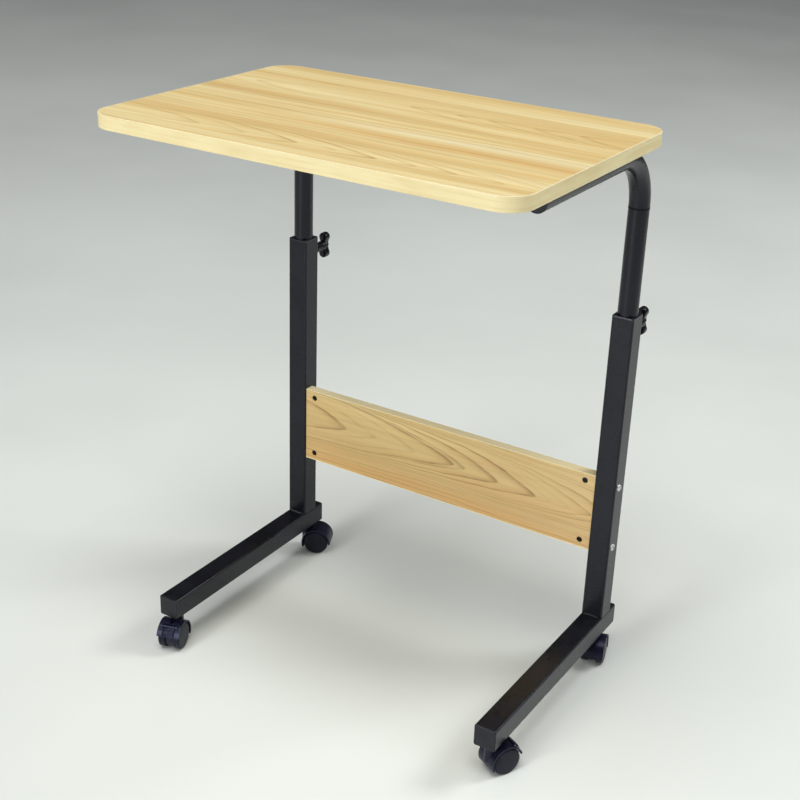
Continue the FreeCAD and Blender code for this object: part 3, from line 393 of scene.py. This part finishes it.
TOP_SPAN = (-0.30, 0.24)
TOP_TONES = ((0.30, srgb(241, 225, 174)), (0.44, srgb(233, 211, 154)),
             (0.55, srgb(225, 198, 137)), (0.70, srgb(216, 185, 122)))
TOP_STRIPES = (
    # centre, width, fades in from, to, share, colour
    (-0.066, 0.020, -0.20, 0.10, 0.70, srgb(215, 172, 108)),
    (-0.036, 0.018, -0.20, 0.10, 0.80, srgb(240, 226, 181)),
    (0.030, 0.026, 0.24, -0.22, 0.55, srgb(209, 173, 111)),
    (0.118, 0.018, -0.05, 0.15, 0.50, srgb(216, 178, 110)),
    (-0.185, 0.014, 0.25, -0.20, 0.60, srgb(240, 228, 177)),
    (-0.105, 0.014, 0.20, -0.10, 0.55, srgb(220, 182, 120)),
)
TOP_FIGURES = (
    # centre, heading along X, (slope, reach) below and above, tips
    (-0.156, 1.0, (5.5, 0.040), (3.4, 0.062),
     ((-0.16, 0.55), (-0.090, 0.6), (-0.015, 0.9), (0.040, 0.45), (0.094, 0.95), (0.147, 0.9),
      (0.200, 0.6))),
    (0.086, -1.0, (3.2, 0.066), (5.0, 0.048),
     ((-0.230, 0.7), (-0.170, 0.85), (-0.105, 0.55), (-0.060, 0.8), (0.010, 0.6))),
)


def make_top_wood():
    """Pale laminate: straight streaks, with a cathedral figure near the front and one at the back right."""
    shader = Shader("top_wood")
    along, across = board_axes(shader, "tabletop_board", "y")
    wandering = warp(shader, along, across, 0.016, 0.003, 5.1)
    bands = shader.noise(shader.on_board(along, wandering, 1.3, 30.0, 9.0), 1.0, 3.0, 0.55)
    ground = shader.ramp(bands, TOP_TONES)
    for centre, width, start, end, strength, colour in TOP_STRIPES:
        where = stripe(shader, along, wandering, centre, width, start, end)
        ground = shader.stain(ground, where, strength, colour)

    leaning = shader.math("MULTIPLY_ADD", along, 0.010, wandering)
    line, shade = growth_rings(shader, leaning, 0.0125, 3.7)
    for centre, heading, below, above, tips in TOP_FIGURES:
        off_axis = shader.math("SUBTRACT", wandering, centre)
        forward = shader.math("MULTIPLY", along, heading)
        field, share = arch_field(shader, forward, off_axis, below, above)
        inside = shader.remap(share, 1.02, 0.84)
        sharp = arch_lines(shader, field, *TOP_SPAN, tips, 0.0140, 0.0045)
        broad = arch_lines(shader, field, *TOP_SPAN, tips[::2], 0.036, 0.0045)
        outer_line, outer_shade = growth_rings(shader, shader.math("MAXIMUM", field, 0.215), 0.070, 4.4)
        arched_line = shader.math("ADD", sharp, outer_line)
        arched_shade = shader.math("ADD", broad, shader.math("MULTIPLY", outer_shade, 0.7))
        line = shader.between(line, arched_line, inside)
        shade = shader.between(shade, arched_shade, inside)

    ground = shader.stain(ground, shade, 0.42, srgb(204, 163, 95))
    ground = shader.stain(ground, uneven(shader, line, along, across), 0.58, srgb(156, 120, 68))
    finish_wood(shader, along, across, ground)
    return shader.material


# ---------------------------------------------------------------- other materials

def make_edging(name, node, pale, deep, highlight_colour):
    """Smooth edge band with faint lengthwise streaks, and a paler band along its top edge that is a painted
    highlight.
    """
    shader = Shader(name)
    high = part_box(node)[1].z
    streaks = shader.noise(shader.stretch(7.0, 7.0, 420.0), 1.0, 3.0)
    clouds = shader.noise(shader.stretch(16.0, 16.0, 60.0, 2.0), 1.0, 2.0)
    both = shader.math("MULTIPLY_ADD", clouds, 0.5, shader.math("MULTIPLY", streaks, 0.5))
    ground = shader.mix(shader.remap(both, 0.35, 0.65), pale, deep)
    # A painted highlight: the band is tinted paler just below its top edge.
    top_edge_highlight = shader.remap(shader.axis["z"], high - 0.9 * MM, high - 0.35 * MM)
    ground = shader.stain(ground, top_edge_highlight, 0.35, highlight_colour)
    shader.bump(shader.noise(shader.place, 2600.0, 2.0), 0.02 * MM, 0.35)
    shader.set(Base_Color=ground, Roughness=shader.math("MULTIPLY_ADD", streaks, 0.14, 0.36), IOR=1.46)
    return shader.material


def make_powder_coat(name, dark, light, rough):
    """Semi-gloss powder coat: orange peel; the outer edges are paler, partly as thinner, worn coat and partly as a
    painted highlight.
    """
    shader = Shader(name)
    clouds = shader.noise(shader.place, 22.0, 3.0, 0.6)
    ground = shader.mix(shader.remap(clouds, 0.32, 0.68), dark, light)
    bevel = shader.node("ShaderNodeBevel", samples=4)
    bevel.inputs["Radius"].default_value = 0.9 * MM
    flat = shader.node("ShaderNodeNewGeometry")
    likeness = shader.node("ShaderNodeVectorMath", operation="DOT_PRODUCT")
    shader.feed(likeness.inputs[0], bevel.outputs["Normal"])
    shader.feed(likeness.inputs[1], flat.outputs["Normal"])
    # Paler outer edges, found from the bevel normal: partly thin, worn coat and partly a painted edge highlight.
    edge_wear_and_highlight = shader.remap(likeness.outputs["Value"], 0.995, 0.90)
    rub = shader.remap(shader.noise(shader.place, 160.0, 3.0), 0.42, 0.62)
    edge_wear_and_highlight = shader.math("MULTIPLY", edge_wear_and_highlight, shader.math("MULTIPLY_ADD", rub, 0.35, 0.25))
    ground = shader.mix(edge_wear_and_highlight, ground, (0.040, 0.041, 0.046))
    peel = shader.noise(shader.place, 620.0, 2.0, 0.45)
    speck = shader.noise(shader.place, 2300.0, 1.0)
    shader.bump(shader.math("MULTIPLY_ADD", speck, 0.3, peel), 0.045 * MM, 0.6)
    shader.set(Base_Color=ground, Roughness=shader.math("MULTIPLY_ADD", clouds, 0.16, rough - 0.08),
               IOR=1.48, Specular_IOR_Level=0.36, Specular_Tint=(0.83, 0.87, 1.0))
    return shader.material


def make_moulded(name, dark, light, rough, grain_scale, grain_depth, gloss=0.36, tint=(0.84, 0.86, 1.0)):
    """Moulded plastic with a fine spark-eroded grain."""
    shader = Shader(name)
    clouds = shader.noise(shader.place, 60.0, 3.0, 0.6)
    ground = shader.mix(shader.remap(clouds, 0.35, 0.65), dark, light)
    shader.bump(shader.noise(shader.place, grain_scale, 3.0, 0.55), grain_depth, 0.6)
    scuff = shader.noise(shader.place, 340.0, 4.0, 0.7)
    shader.set(Base_Color=ground, Roughness=shader.math("MULTIPLY_ADD", scuff, 0.20, rough - 0.10),
               IOR=1.48, Specular_IOR_Level=gloss, Specular_Tint=tint)
    return shader.material


def make_metal(name, dark, light, rough, stretch):
    """Plated steel with fine lines along one direction and small dull patches."""
    shader = Shader(name)
    lines = shader.noise(shader.stretch(*stretch), 1.0, 3.0, 0.6)
    patches = shader.noise(shader.place, 230.0, 3.0, 0.6)
    ground = shader.mix(shader.remap(patches, 0.35, 0.65), dark, light)
    shader.bump(lines, 0.012 * MM, 0.5)
    shader.set(Base_Color=ground, Metallic=1.0,
               Roughness=shader.math("MULTIPLY_ADD", patches, 0.26, rough - 0.10))
    return shader.material


def make_floor_finish():
    shader = Shader("floor_finish")
    clouds = shader.noise(shader.place, 1.4, 3.0, 0.5)
    ground = shader.mix(shader.remap(clouds, 0.3, 0.7), srgb(218, 222, 217), srgb(224, 228, 223))
    shader.bump(shader.noise(shader.place, 240.0, 3.0, 0.6), 0.05 * MM, 0.4)
    shader.set(Base_Color=ground, Roughness=shader.math("MULTIPLY_ADD", clouds, 0.12, 0.40))
    return shader.material


FINISHES = {
    "tabletop_laminate": make_top_wood(),
    "tabletop_edging": make_edging("tabletop_edging", "tabletop_edge_band", srgb(233, 218, 169),
                                   srgb(222, 203, 150), srgb(250, 243, 216)),
    "panel_laminate": make_panel_wood(),
    # Paler than the tabletop edging: painted light, standing in for the light that the tabletop keeps off the
    # panel's top edge.
    "panel_edging": make_edging("panel_edging", "rear_panel_edge_bands", srgb(253, 238, 190),
                                srgb(246, 226, 174), srgb(255, 243, 204)),
    "zinc_fixings": make_metal("zinc", (0.55, 0.55, 0.56), (0.74, 0.74, 0.73), 0.30, (900, 900, 160)),
    "black_fixings": make_metal("black_oxide", (0.020, 0.020, 0.021), (0.045, 0.044, 0.043), 0.40,
                                (700, 120, 700)),
    "frame_fixings": make_powder_coat("painted_nut", (0.0045, 0.0045, 0.0060),
                                      (0.0075, 0.0075, 0.0095), 0.34),
    "frame_powder_coat": make_powder_coat("powder_coat", (0.0044, 0.0045, 0.0066),
                                          (0.0078, 0.0080, 0.0112), 0.28),
    "frame_plastic": make_moulded("frame_plastic", (0.007, 0.007, 0.009), (0.012, 0.012, 0.015),
                                  0.36, 1500.0, 0.04 * MM),
    "caster_steel": make_metal("caster_steel", (0.45, 0.45, 0.46), (0.62, 0.62, 0.61), 0.34,
                               (160, 160, 1200)),
    "clamp_thread": make_metal("thread_steel", (0.42, 0.42, 0.43), (0.60, 0.60, 0.60), 0.36,
                               (1200, 160, 1200)),
    "knob_plastic": make_moulded("knob_plastic", (0.004, 0.004, 0.005), (0.008, 0.008, 0.010),
                                 0.24, 900.0, 0.02 * MM),
    "caster_hood_plastic": make_moulded("hood_plastic", (0.0045, 0.0048, 0.013), (0.0095, 0.0095, 0.024),
                                        0.32, 1300.0, 0.03 * MM, 0.34, (0.66, 0.70, 1.0)),
    "caster_wheel_plastic": make_moulded("wheel_plastic", (0.0045, 0.0048, 0.009), (0.0095, 0.0100, 0.017),
                                         0.42, 1000.0, 0.05 * MM, 0.28, (0.74, 0.80, 1.0)),
}
WELD = make_powder_coat("weld", (0.005, 0.005, 0.007), (0.010, 0.010, 0.013), 0.22)
# The bushes are glossier than the frame plastic and a little paler; the paleness is a painted highlight for the
# bright lip at the post tops.
BUSH = make_moulded("bush_plastic", (0.010, 0.010, 0.013), (0.017, 0.017, 0.021), 0.20, 1500.0,
                    0.01 * MM, 0.62)
# A dull coat for the masts' bend marks, darker than the frame: the darkness is painted shade in the crease.
CREASE_SHADE_COAT = make_moulded("crease_shade_coat", (0.0015, 0.0015, 0.002), (0.004, 0.004, 0.005), 0.80, 1400.0,
                       0.05 * MM)


def dress_cad_nodes():
    """Give every CAD node the finish of its material slot; the bushes are glossier, and a little paler as a
    painted highlight.
    """
    slots = {row["node"]: row["material_slot"] for row in frame["record"]["subparts"]}
    for name, node in NODES.items():
        node.data.materials.clear()
        node.data.materials.append(BUSH if name.endswith("_bush") else FINISHES[slots[name]])


# ---------------------------------------------------------------- mesh helpers

SHARP_ANGLE = math.radians(38)


def add_piece(name, parts, slot, body, replaces=(), finish=None):
    """One object from (vertices, faces) parts; it rides on a body and stands for CAD nodes."""
    vertices, faces = [], []
    for part_vertices, part_faces in parts:
        offset = len(vertices)
        vertices.extend(part_vertices)
        faces.extend([tuple(offset + index for index in face) for face in part_faces])
    mesh = bpy.data.meshes.new(name)
    mesh.from_pydata([tuple(v) for v in vertices], [], faces)
    mesh.validate()
    settle(mesh)
    piece = bpy.data.objects.new(name, mesh)
    bpy.context.scene.collection.objects.link(piece)
    mesh.materials.append(finish or FINISHES[slot])
    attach(piece, body)
    if replaces:
        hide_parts(*replaces)


def settle(mesh):
    """Point the faces outwards and keep only the sharp edges sharp."""
    work = bmesh.new()
    work.from_mesh(mesh)
    bmesh.ops.recalc_face_normals(work, faces=work.faces)
    for face in work.faces:
        face.smooth = True
    for edge in work.edges:
        edge.smooth = len(edge.link_faces) != 2 or edge.calc_face_angle(0.0) < SHARP_ANGLE
    work.to_mesh(mesh)
    work.free()


def moved(part, matrix):
    vertices, faces = part
    return [matrix @ Vector(v) for v in vertices], faces


def facing(origin, direction, up=Z_AXIS):
    """A placement whose Z runs along direction, with its Y as near to up as can be."""
    z = Vector(direction).normalized()
    x = Vector(up).cross(z).normalized()
    turn = Matrix((x, z.cross(x), z)).transposed().to_4x4()
    return Matrix.Translation(origin) @ turn


def ring(count, height, radius_at):
    """Points round Z; radius_at gives the radius at an angle."""
    points = []
    for index in range(count):
        angle = 2 * math.pi * index / count
        radius = radius_at(angle)
        points.append(Vector((radius * math.cos(angle), radius * math.sin(angle), height)))
    return points


def loft(rings, close_start=True, close_end=True):
    """Skin over closed rings of equal length."""
    count = len(rings[0])
    vertices = [point for points in rings for point in points]
    faces = []
    for row in range(len(rings) - 1):
        for index in range(count):
            following = (index + 1) % count
            faces.append((row * count + index, row * count + following,
                          (row + 1) * count + following, (row + 1) * count + index))
    if close_start:
        faces.append(tuple(reversed(range(count))))
    if close_end:
        faces.append(tuple(range((len(rings) - 1) * count, len(rings) * count)))
    return vertices, faces


def lathe(profile, segments, ripple=None):
    """Turn (radius, height) points about Z; ripple(angle, height) is taken off the radius."""
    return loft([ring(segments, height, lambda angle: radius - (ripple(angle, height) if ripple else 0.0))
                 for radius, height in profile])


def in_mm(pairs):
    return [(first * MM, second * MM) for first, second in pairs]


# ---------------------------------------------------------------- screws, bolts and cross dowels

HEAD_SEGMENTS, HEAD_ROWS = 48, 22
HEAD_FULLNESS = 0.98         # below 1, so that the dome still meets its side at an angle
SCREW_SHANK, SCREW_ROOT, SCREW_PITCH = 2.2 * MM, 1.65 * MM, 1.5 * MM
SCREW_PLAIN_LENGTH, SCREW_POINT_LENGTH = 26 * MM, 4 * MM
# The bolt's profile is in millimetres.
BOLT_SHANK, BOLT_ROOT, BOLT_PITCH = 3.0, 2.6, 1.0
BOLT_PLAIN_LENGTH, BOLT_LENGTH = 38.0, 58.0


def driven_head(radius, crown, height, recess):
    """A domed head on z 0, pointing to +Z, with a recess(x, y) pressed into it."""
    rings = []
    for row in range(1, HEAD_ROWS + 1):
        share = row / HEAD_ROWS
        dome = crown + (height - crown) * math.sqrt(1 - share * share * HEAD_FULLNESS)
        points = ring(HEAD_SEGMENTS, dome, lambda angle: radius * share)
        for point in points:
            point.z -= recess(point.x, point.y)
        rings.append(points)
    rings.append(ring(HEAD_SEGMENTS, 0.0, lambda angle: radius))
    vertices, faces = loft(rings, close_start=False)
    faces += [(len(vertices), index, (index + 1) % HEAD_SEGMENTS) for index in range(HEAD_SEGMENTS)]
    return vertices + [Vector((0, 0, height - recess(0.0, 0.0)))], faces


def cross_recess(size, depth):
    """Two crossed tapering slots."""
    def at(x, y):
        arm = max(min(size * 0.17 - abs(x), size - abs(y)), min(size * 0.17 - abs(y), size - abs(x)))
        return depth * max(0.0, min(1.0, arm / (size * 0.10)))
    return at


def slot_recess(length, width, depth):
    def at(x, y):
        return depth * max(0.0, min(1.0, min(width - abs(y), length - abs(x)) / (width * 0.25)))
    return at


def make_tabletop_screws():
    head, height = 4.5 * MM, 2.8 * MM
    low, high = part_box("tabletop_screws")
    seat = low.z + height
    length = high.z - seat
    profile = [(SCREW_SHANK, 0.0), (SCREW_SHANK, SCREW_PLAIN_LENGTH)]
    row = SCREW_PLAIN_LENGTH
    while row < length - SCREW_POINT_LENGTH:
        profile += [(SCREW_SHANK, row), (SCREW_ROOT, row + SCREW_PITCH * 0.30),
                    (SCREW_ROOT, row + SCREW_PITCH * 0.70)]
        row += SCREW_PITCH
    profile += [(SCREW_SHANK * 0.8, length - SCREW_POINT_LENGTH), (0.2 * MM, length)]
    parts = []
    for x in (low.x + head, high.x - head):
        for y in (low.y + head, high.y - head):
            dome = driven_head(head, 1.3 * MM, height, cross_recess(2.3 * MM, 1.5 * MM))
            turn = Matrix.Rotation(math.radians(25 + 900 * (x + y)), 4, "Z")
            parts.append(moved(dome, facing((x, y, seat), -Z_AXIS, Y_AXIS) @ turn))
            parts.append(moved(lathe(profile, 24), Matrix.Translation((x, y, seat))))
    add_piece("tabletop_screw_set", parts, "zinc_fixings", "lift_frame", ["tabletop_screws"])


def make_panel_bolts():
    head, height = 5.25 * MM, 3.2 * MM
    low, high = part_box("panel_bolts")
    y = (low.y + high.y) / 2
    profile = [(BOLT_SHANK, 0.0), (BOLT_SHANK, BOLT_PLAIN_LENGTH)]
    row = BOLT_PLAIN_LENGTH
    while row < BOLT_LENGTH - 2:
        profile += [(BOLT_SHANK, row), (BOLT_ROOT, row + 0.35), (BOLT_ROOT, row + 0.65)]
        row += BOLT_PITCH
    profile += [(2.9, BOLT_LENGTH - 1), (2.2, BOLT_LENGTH)]
    parts = []
    for x, inward in ((low.x + height, 1), (high.x - height, -1)):
        for z in (low.z + head, high.z - head):
            dome = driven_head(head, 1.1 * MM, height, cross_recess(2.9 * MM, 1.7 * MM))
            turn = Matrix.Rotation(math.radians(20 + 2200 * z + 40 * inward), 4, "Z")
            parts.append(moved(dome, facing((x, y, z), X_AXIS * -inward) @ turn))
            parts.append(moved(lathe(in_mm(profile), 32), facing((x, y, z), X_AXIS * inward)))
    add_piece("panel_bolt_set", parts, "zinc_fixings", "base_frame", ["panel_bolts"])


def make_barrel_nuts():
    """Cross dowels: slotted front faces, set a little below the board."""
    radius = 4.45 * MM
    low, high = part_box("panel_barrel_nuts")
    parts = []
    for x in (low.x + radius, high.x - radius):
        for z in (low.z + radius, high.z - radius):
            face = driven_head(radius, 10.75 * MM, 11.0 * MM, slot_recess(3.3 * MM, 0.85 * MM, 1.4 * MM))
            turn = Matrix.Rotation(math.radians(3600 * z + 60 * x), 4, "Z")
            parts.append(moved(face, facing((x, high.y, z), -Y_AXIS) @ turn))
    add_piece("barrel_nut_set", parts, "black_fixings", "base_frame", ["panel_barrel_nuts"])


# ---------------------------------------------------------------- welds and bend marks

WELD_RIPPLES, WELD_STEPS, WELD_ARC = 11, 88, 8
WELD_MARGIN = 3.0 * MM       # from each corner of the post to the bead's end
BEND_RADIUS = 77 * MM
BEND_MARK = in_mm([
    # rise above the tube, height
    (-0.40, -1.5), (0.10, -1.25), (0.16, -1.0), (0.04, -0.7),
    (0.03, 0.7), (0.16, 1.0), (0.10, 1.25), (-0.40, 1.5)])


def make_welds():
    """Rippled beads along the front and rear foot of each post."""
    parts = []
    for side in SIDES:
        low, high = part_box(side + "_post")
        for y, outward in ((low.y, -1), (high.y, 1)):
            rings = []
            for step in range(WELD_STEPS + 1):
                share = step / WELD_STEPS
                x = low.x + WELD_MARGIN + share * (high.x - low.x - 2 * WELD_MARGIN)
                pulse = abs(math.sin(math.pi * share * WELD_RIPPLES))
                taper = min(1.0, 5.0 * min(share, 1 - share) + 0.45)
                radius = (2.45 + 0.5 * pulse) * MM * taper
                lean = 0.25 * MM * math.cos(math.pi * share * WELD_RIPPLES * 2)
                section = [Vector((x, y, low.z))]
                for index in range(WELD_ARC + 1):
                    angle = math.pi / 2 * index / WELD_ARC
                    section.append(Vector((x + lean * math.sin(2 * angle),
                                           y + outward * radius * math.cos(angle),
                                           low.z + radius * math.sin(angle))))
                rings.append(section)
            parts.append(loft(rings))
    add_piece("weld_beads", parts, "frame_powder_coat", "base_frame", ["post_welds"], finish=WELD)


def make_bend_marks():
    """The ring of ridges that the bending tool leaves at the start of each mast's bend, in a dull coat darker than
    the frame's: the darkness is painted shade in the crease.
    """
    for side in SIDES:
        low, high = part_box(side + "_mast")
        radius = (high.x - low.x) / 2
        centre = Vector(((low.x + high.x) / 2, high.y - radius, high.z - radius - BEND_RADIUS))
        rings = [ring(64, height, lambda angle: radius + rise) for rise, height in BEND_MARK]
        skin = loft(rings + rings[:1], close_start=False, close_end=False)
        add_piece(side + "_bend_mark", [moved(skin, Matrix.Translation(centre))], "frame_powder_coat",
                  "lift_frame", finish=CREASE_SHADE_COAT)


# ---------------------------------------------------------------- clamps

THREAD_PITCH, THREAD_DEPTH, THREAD_CHAMFER = 1.25 * MM, 0.62 * MM, 0.5 * MM
THREAD_SEGMENTS, THREAD_ROWS_PER_TURN = 36, 8
LOBE_RADIUS, LOBE_OFFSET, WAIST_RADIUS, ARC_POINTS = 7.0 * MM, 13.0 * MM, 22.0 * MM, 14
WING_THICKNESS = 12 * MM
WING_SECTION = in_mm([
    # how far the outline moves inwards, height above the wing's base
    (2.4, 0.0), (1.4, 0.25), (0.6, 0.8), (0.12, 1.7), (0.0, 3.0), (0.0, 9.0), (0.12, 10.3),
    (0.6, 11.2), (1.3, 11.75), (2.1, 12.0), (2.7, 11.9), (3.2, 11.3), (3.6, 10.9), (4.4, 10.8)])
HUB_RADIUS, HUB_WAIST_DEPTH, HUB_STEPS = 7.5 * MM, 0.54 * MM, 10
FLUTES, FLUTE_DEPTH = 10, 0.55 * MM
CAP_SINK = 1.35 * MM
CAP_PROFILE = in_mm([(4.6, -1.6), (4.6, 0.0), (4.3, 0.5), (3.4, 0.95), (2.0, 1.2), (0.4, 1.3)])


def make_clamp_stud(side):
    """M8 stud with a cut thread."""
    low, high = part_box(side + "_clamp_stud")
    radius, length = (high.x - low.x) / 2, high.y - low.y
    rows = int(length / THREAD_PITCH * THREAD_ROWS_PER_TURN)
    rings = []
    for row in range(rows + 1):
        height = length * row / rows
        end = min(1.0, min(height, length - height) / THREAD_PITCH)

        def thread_radius(angle):
            phase = (height / THREAD_PITCH - angle / (2 * math.pi)) % 1.0
            groove = THREAD_DEPTH * (1.0 - abs(2 * phase - 1)) ** 0.8
            return radius - groove - THREAD_CHAMFER * (1 - end)

        rings.append(ring(THREAD_SEGMENTS, height, thread_radius))
    middle = (low + high) / 2
    place = facing((middle.x, low.y, middle.z), Y_AXIS)
    add_piece(side + "_clamp_thread", [moved(loft(rings), place)], "clamp_thread",
              side + "_clamp_screw", [side + "_clamp_stud"])


def wing_outline(inset):
    """The two-lobed outline moved inwards, anticlockwise in X and Z."""
    flank = math.sqrt((LOBE_RADIUS + WAIST_RADIUS) ** 2 - LOBE_OFFSET ** 2)
    tilt = math.atan2(LOBE_OFFSET, flank)
    lobe, waist = LOBE_RADIUS - inset, WAIST_RADIUS + inset
    points = []
    for sign in (1, -1):
        for index in range(ARC_POINTS):
            angle = -tilt + (math.pi + 2 * tilt) * index / (ARC_POINTS - 1)
            points.append((sign * lobe * math.cos(angle), sign * (LOBE_OFFSET + lobe * math.sin(angle))))
        for index in range(1, ARC_POINTS - 1):
            angle = tilt - 2 * tilt * index / (ARC_POINTS - 1)
            points.append((sign * (waist * math.cos(angle) - flank), sign * waist * math.sin(angle)))
    return points


def make_clamp_knob(side):
    """Rounded wing with a hollowed face and a domed cap, on a fluted hub."""
    low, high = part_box(side + "_clamp_knob")
    middle = (low + high) / 2
    wing_base = high.y - WING_THICKNESS
    wing = loft([[Vector((middle.x + x, wing_base + height, middle.z + z)) for x, z in wing_outline(inset)]
                 for inset, height in WING_SECTION])
    hub_length = wing_base - low.y

    def flute(angle, height):
        inside = 1.5 * MM < height < hub_length - 1.0 * MM
        return FLUTE_DEPTH * max(0.0, math.cos(FLUTES * angle)) if inside else 0.0

    profile = in_mm([(4.05, 0.6), (6.9, 0.0), (7.4, 0.5), (7.5, 1.4), (7.5, 1.6)])
    for step in range(HUB_STEPS + 1):
        share = step / HUB_STEPS
        profile.append((HUB_RADIUS - HUB_WAIST_DEPTH * math.sin(math.pi * share),
                        2 * MM + (hub_length - 4 * MM) * share))
    profile += [(7.4 * MM, hub_length + 1.0 * MM), (6.0 * MM, hub_length + 2.0 * MM)]
    hub = moved(lathe(profile, 80, flute), facing((middle.x, low.y, middle.z), Y_AXIS))
    cap = moved(lathe(CAP_PROFILE, 40), facing((middle.x, high.y - CAP_SINK, middle.z), Y_AXIS))
    add_piece(side + "_wing_knob", [wing, hub, cap], "knob_plastic",
              side + "_clamp_handle", [side + "_clamp_knob"])


# ---------------------------------------------------------------- casters

WHEEL_INNER = 6.0 * MM       # from the caster's middle to a wheel's inner face
WHEEL_PROFILE = in_mm([
    (3.05, 9.0), (3.05, 0.4), (3.35, 0.0), (5.2, 0.0), (5.5, 0.3), (5.5, 8.6), (6.0, 9.1), (15.9, 9.1),
    (16.5, 8.5), (16.6, 0.3), (16.9, 0.0), (18.6, 0.0), (19.5, 0.4), (19.9, 1.3), (20.0, 2.2), (20.0, 5.0),
    (19.86, 5.2), (19.86, 5.5), (20.0, 5.7), (20.0, 8.4), (19.86, 9.2), (19.45, 9.95), (18.8, 10.45),
    (17.8, 10.75), (16.0, 10.98), (13.0, 11.18), (10.0, 11.32), (6.5, 11.43), (3.0, 11.48), (0.5, 11.5)])

# The brake pedal, in millimetres and in degrees round the wheels' axle.
PEDAL_START, PEDAL_END, PEDAL_STEPS = 19.0, 57.0, 114
PEDAL_INNER, PEDAL_OUTER, PEDAL_TOE = 22.4, 24.4, 25.8
PEDAL_ACROSS = (-9.0, -8.8, -8.3, -7.4, 7.4, 8.3, 8.8, 9.0)
PEDAL_EDGE_DROP = (1.0, 0.45, 0.12, 0.0, 0.0, 0.12, 0.45, 1.0)
GRIP_BARS, GRIP_HALF_WIDTH, GRIP_HEIGHT = (31.0, 39.0, 47.0), 2.0, 1.3
KNUCKLE_LENGTH = 18.0
KNUCKLE_PROFILE = in_mm([(1.26, 0.0), (2.2, 0.0), (2.5, 0.3), (2.5, KNUCKLE_LENGTH - 0.3),
                         (2.2, KNUCKLE_LENGTH), (1.26, KNUCKLE_LENGTH)])


def axle_of(caster):
    """Centre of the caster's axle and the axle's direction."""
    joint = JOINTS[caster + "_wheel_a_spin"]
    return Vector(joint["pos_m"]), Vector(joint["axis"])


def make_wheels(caster):
    centre, axis = axle_of(caster)
    for letter, step in (("a", -1), ("b", 1)):
        name = f"{caster}_wheel_{letter}"
        place = facing(centre + axis * step * WHEEL_INNER, axis * step)
        add_piece(f"{caster}_roller_{letter}", [moved(lathe(WHEEL_PROFILE, 96), place)],
                  "caster_wheel_plastic", name, [name])


def pedal_radius(degrees):
    """The pedal's outer face: a raised toe at its start, then the grip bars."""
    toe = min(1.0, max(0.0, (29.0 - degrees) / 8.0))
    toe *= math.sqrt(min(1.0, 0.1 + (degrees - PEDAL_START) / 2.2))
    bar = max(math.exp(-((degrees - place) / GRIP_HALF_WIDTH) ** 4) for place in GRIP_BARS)
    return PEDAL_OUTER + (PEDAL_TOE - PEDAL_OUTER) * toe + GRIP_HEIGHT * bar


def make_brake_lever(caster):
    """Curved pedal that hugs the hood, with grip bars across it and a raised toe."""
    centre, axis = axle_of(caster)
    pivot = Vector(JOINTS[caster + "_brake_press"]["pos_m"])
    heading = pivot - centre
    heading.z = 0.0
    heading.normalize()

    def point(degrees, radius, across):
        angle = math.radians(degrees)
        outward = heading * math.cos(angle) + Z_AXIS * math.sin(angle)
        return centre + (axis * across + outward * radius) * MM

    rings = []
    for step in range(PEDAL_STEPS + 1):
        degrees = PEDAL_START + (PEDAL_END - PEDAL_START) * step / PEDAL_STEPS
        section = [point(degrees, pedal_radius(degrees) - drop, across)
                   for across, drop in zip(PEDAL_ACROSS, PEDAL_EDGE_DROP)]
        section += [point(degrees, PEDAL_INNER, across) for across in reversed(PEDAL_ACROSS)]
        rings.append(section)
    knuckle = moved(lathe(KNUCKLE_PROFILE, 40), facing(pivot - axis * KNUCKLE_LENGTH * MM / 2, axis))
    add_piece(caster + "_brake_pedal", [loft(rings), knuckle], "caster_hood_plastic", caster + "_brake",
              [caster + "_brake_lever"])


# ---------------------------------------------------------------- assembly

make_camera()
make_studio()
make_floor()
dress_cad_nodes()
make_tabletop_screws()
make_panel_bolts()
make_barrel_nuts()
make_welds()
make_bend_marks()
for side in SIDES:
    make_clamp_stud(side)
    make_clamp_knob(side)
for caster in CASTERS:
    make_wheels(caster)
for caster in BRAKED:
    make_brake_lever(caster)
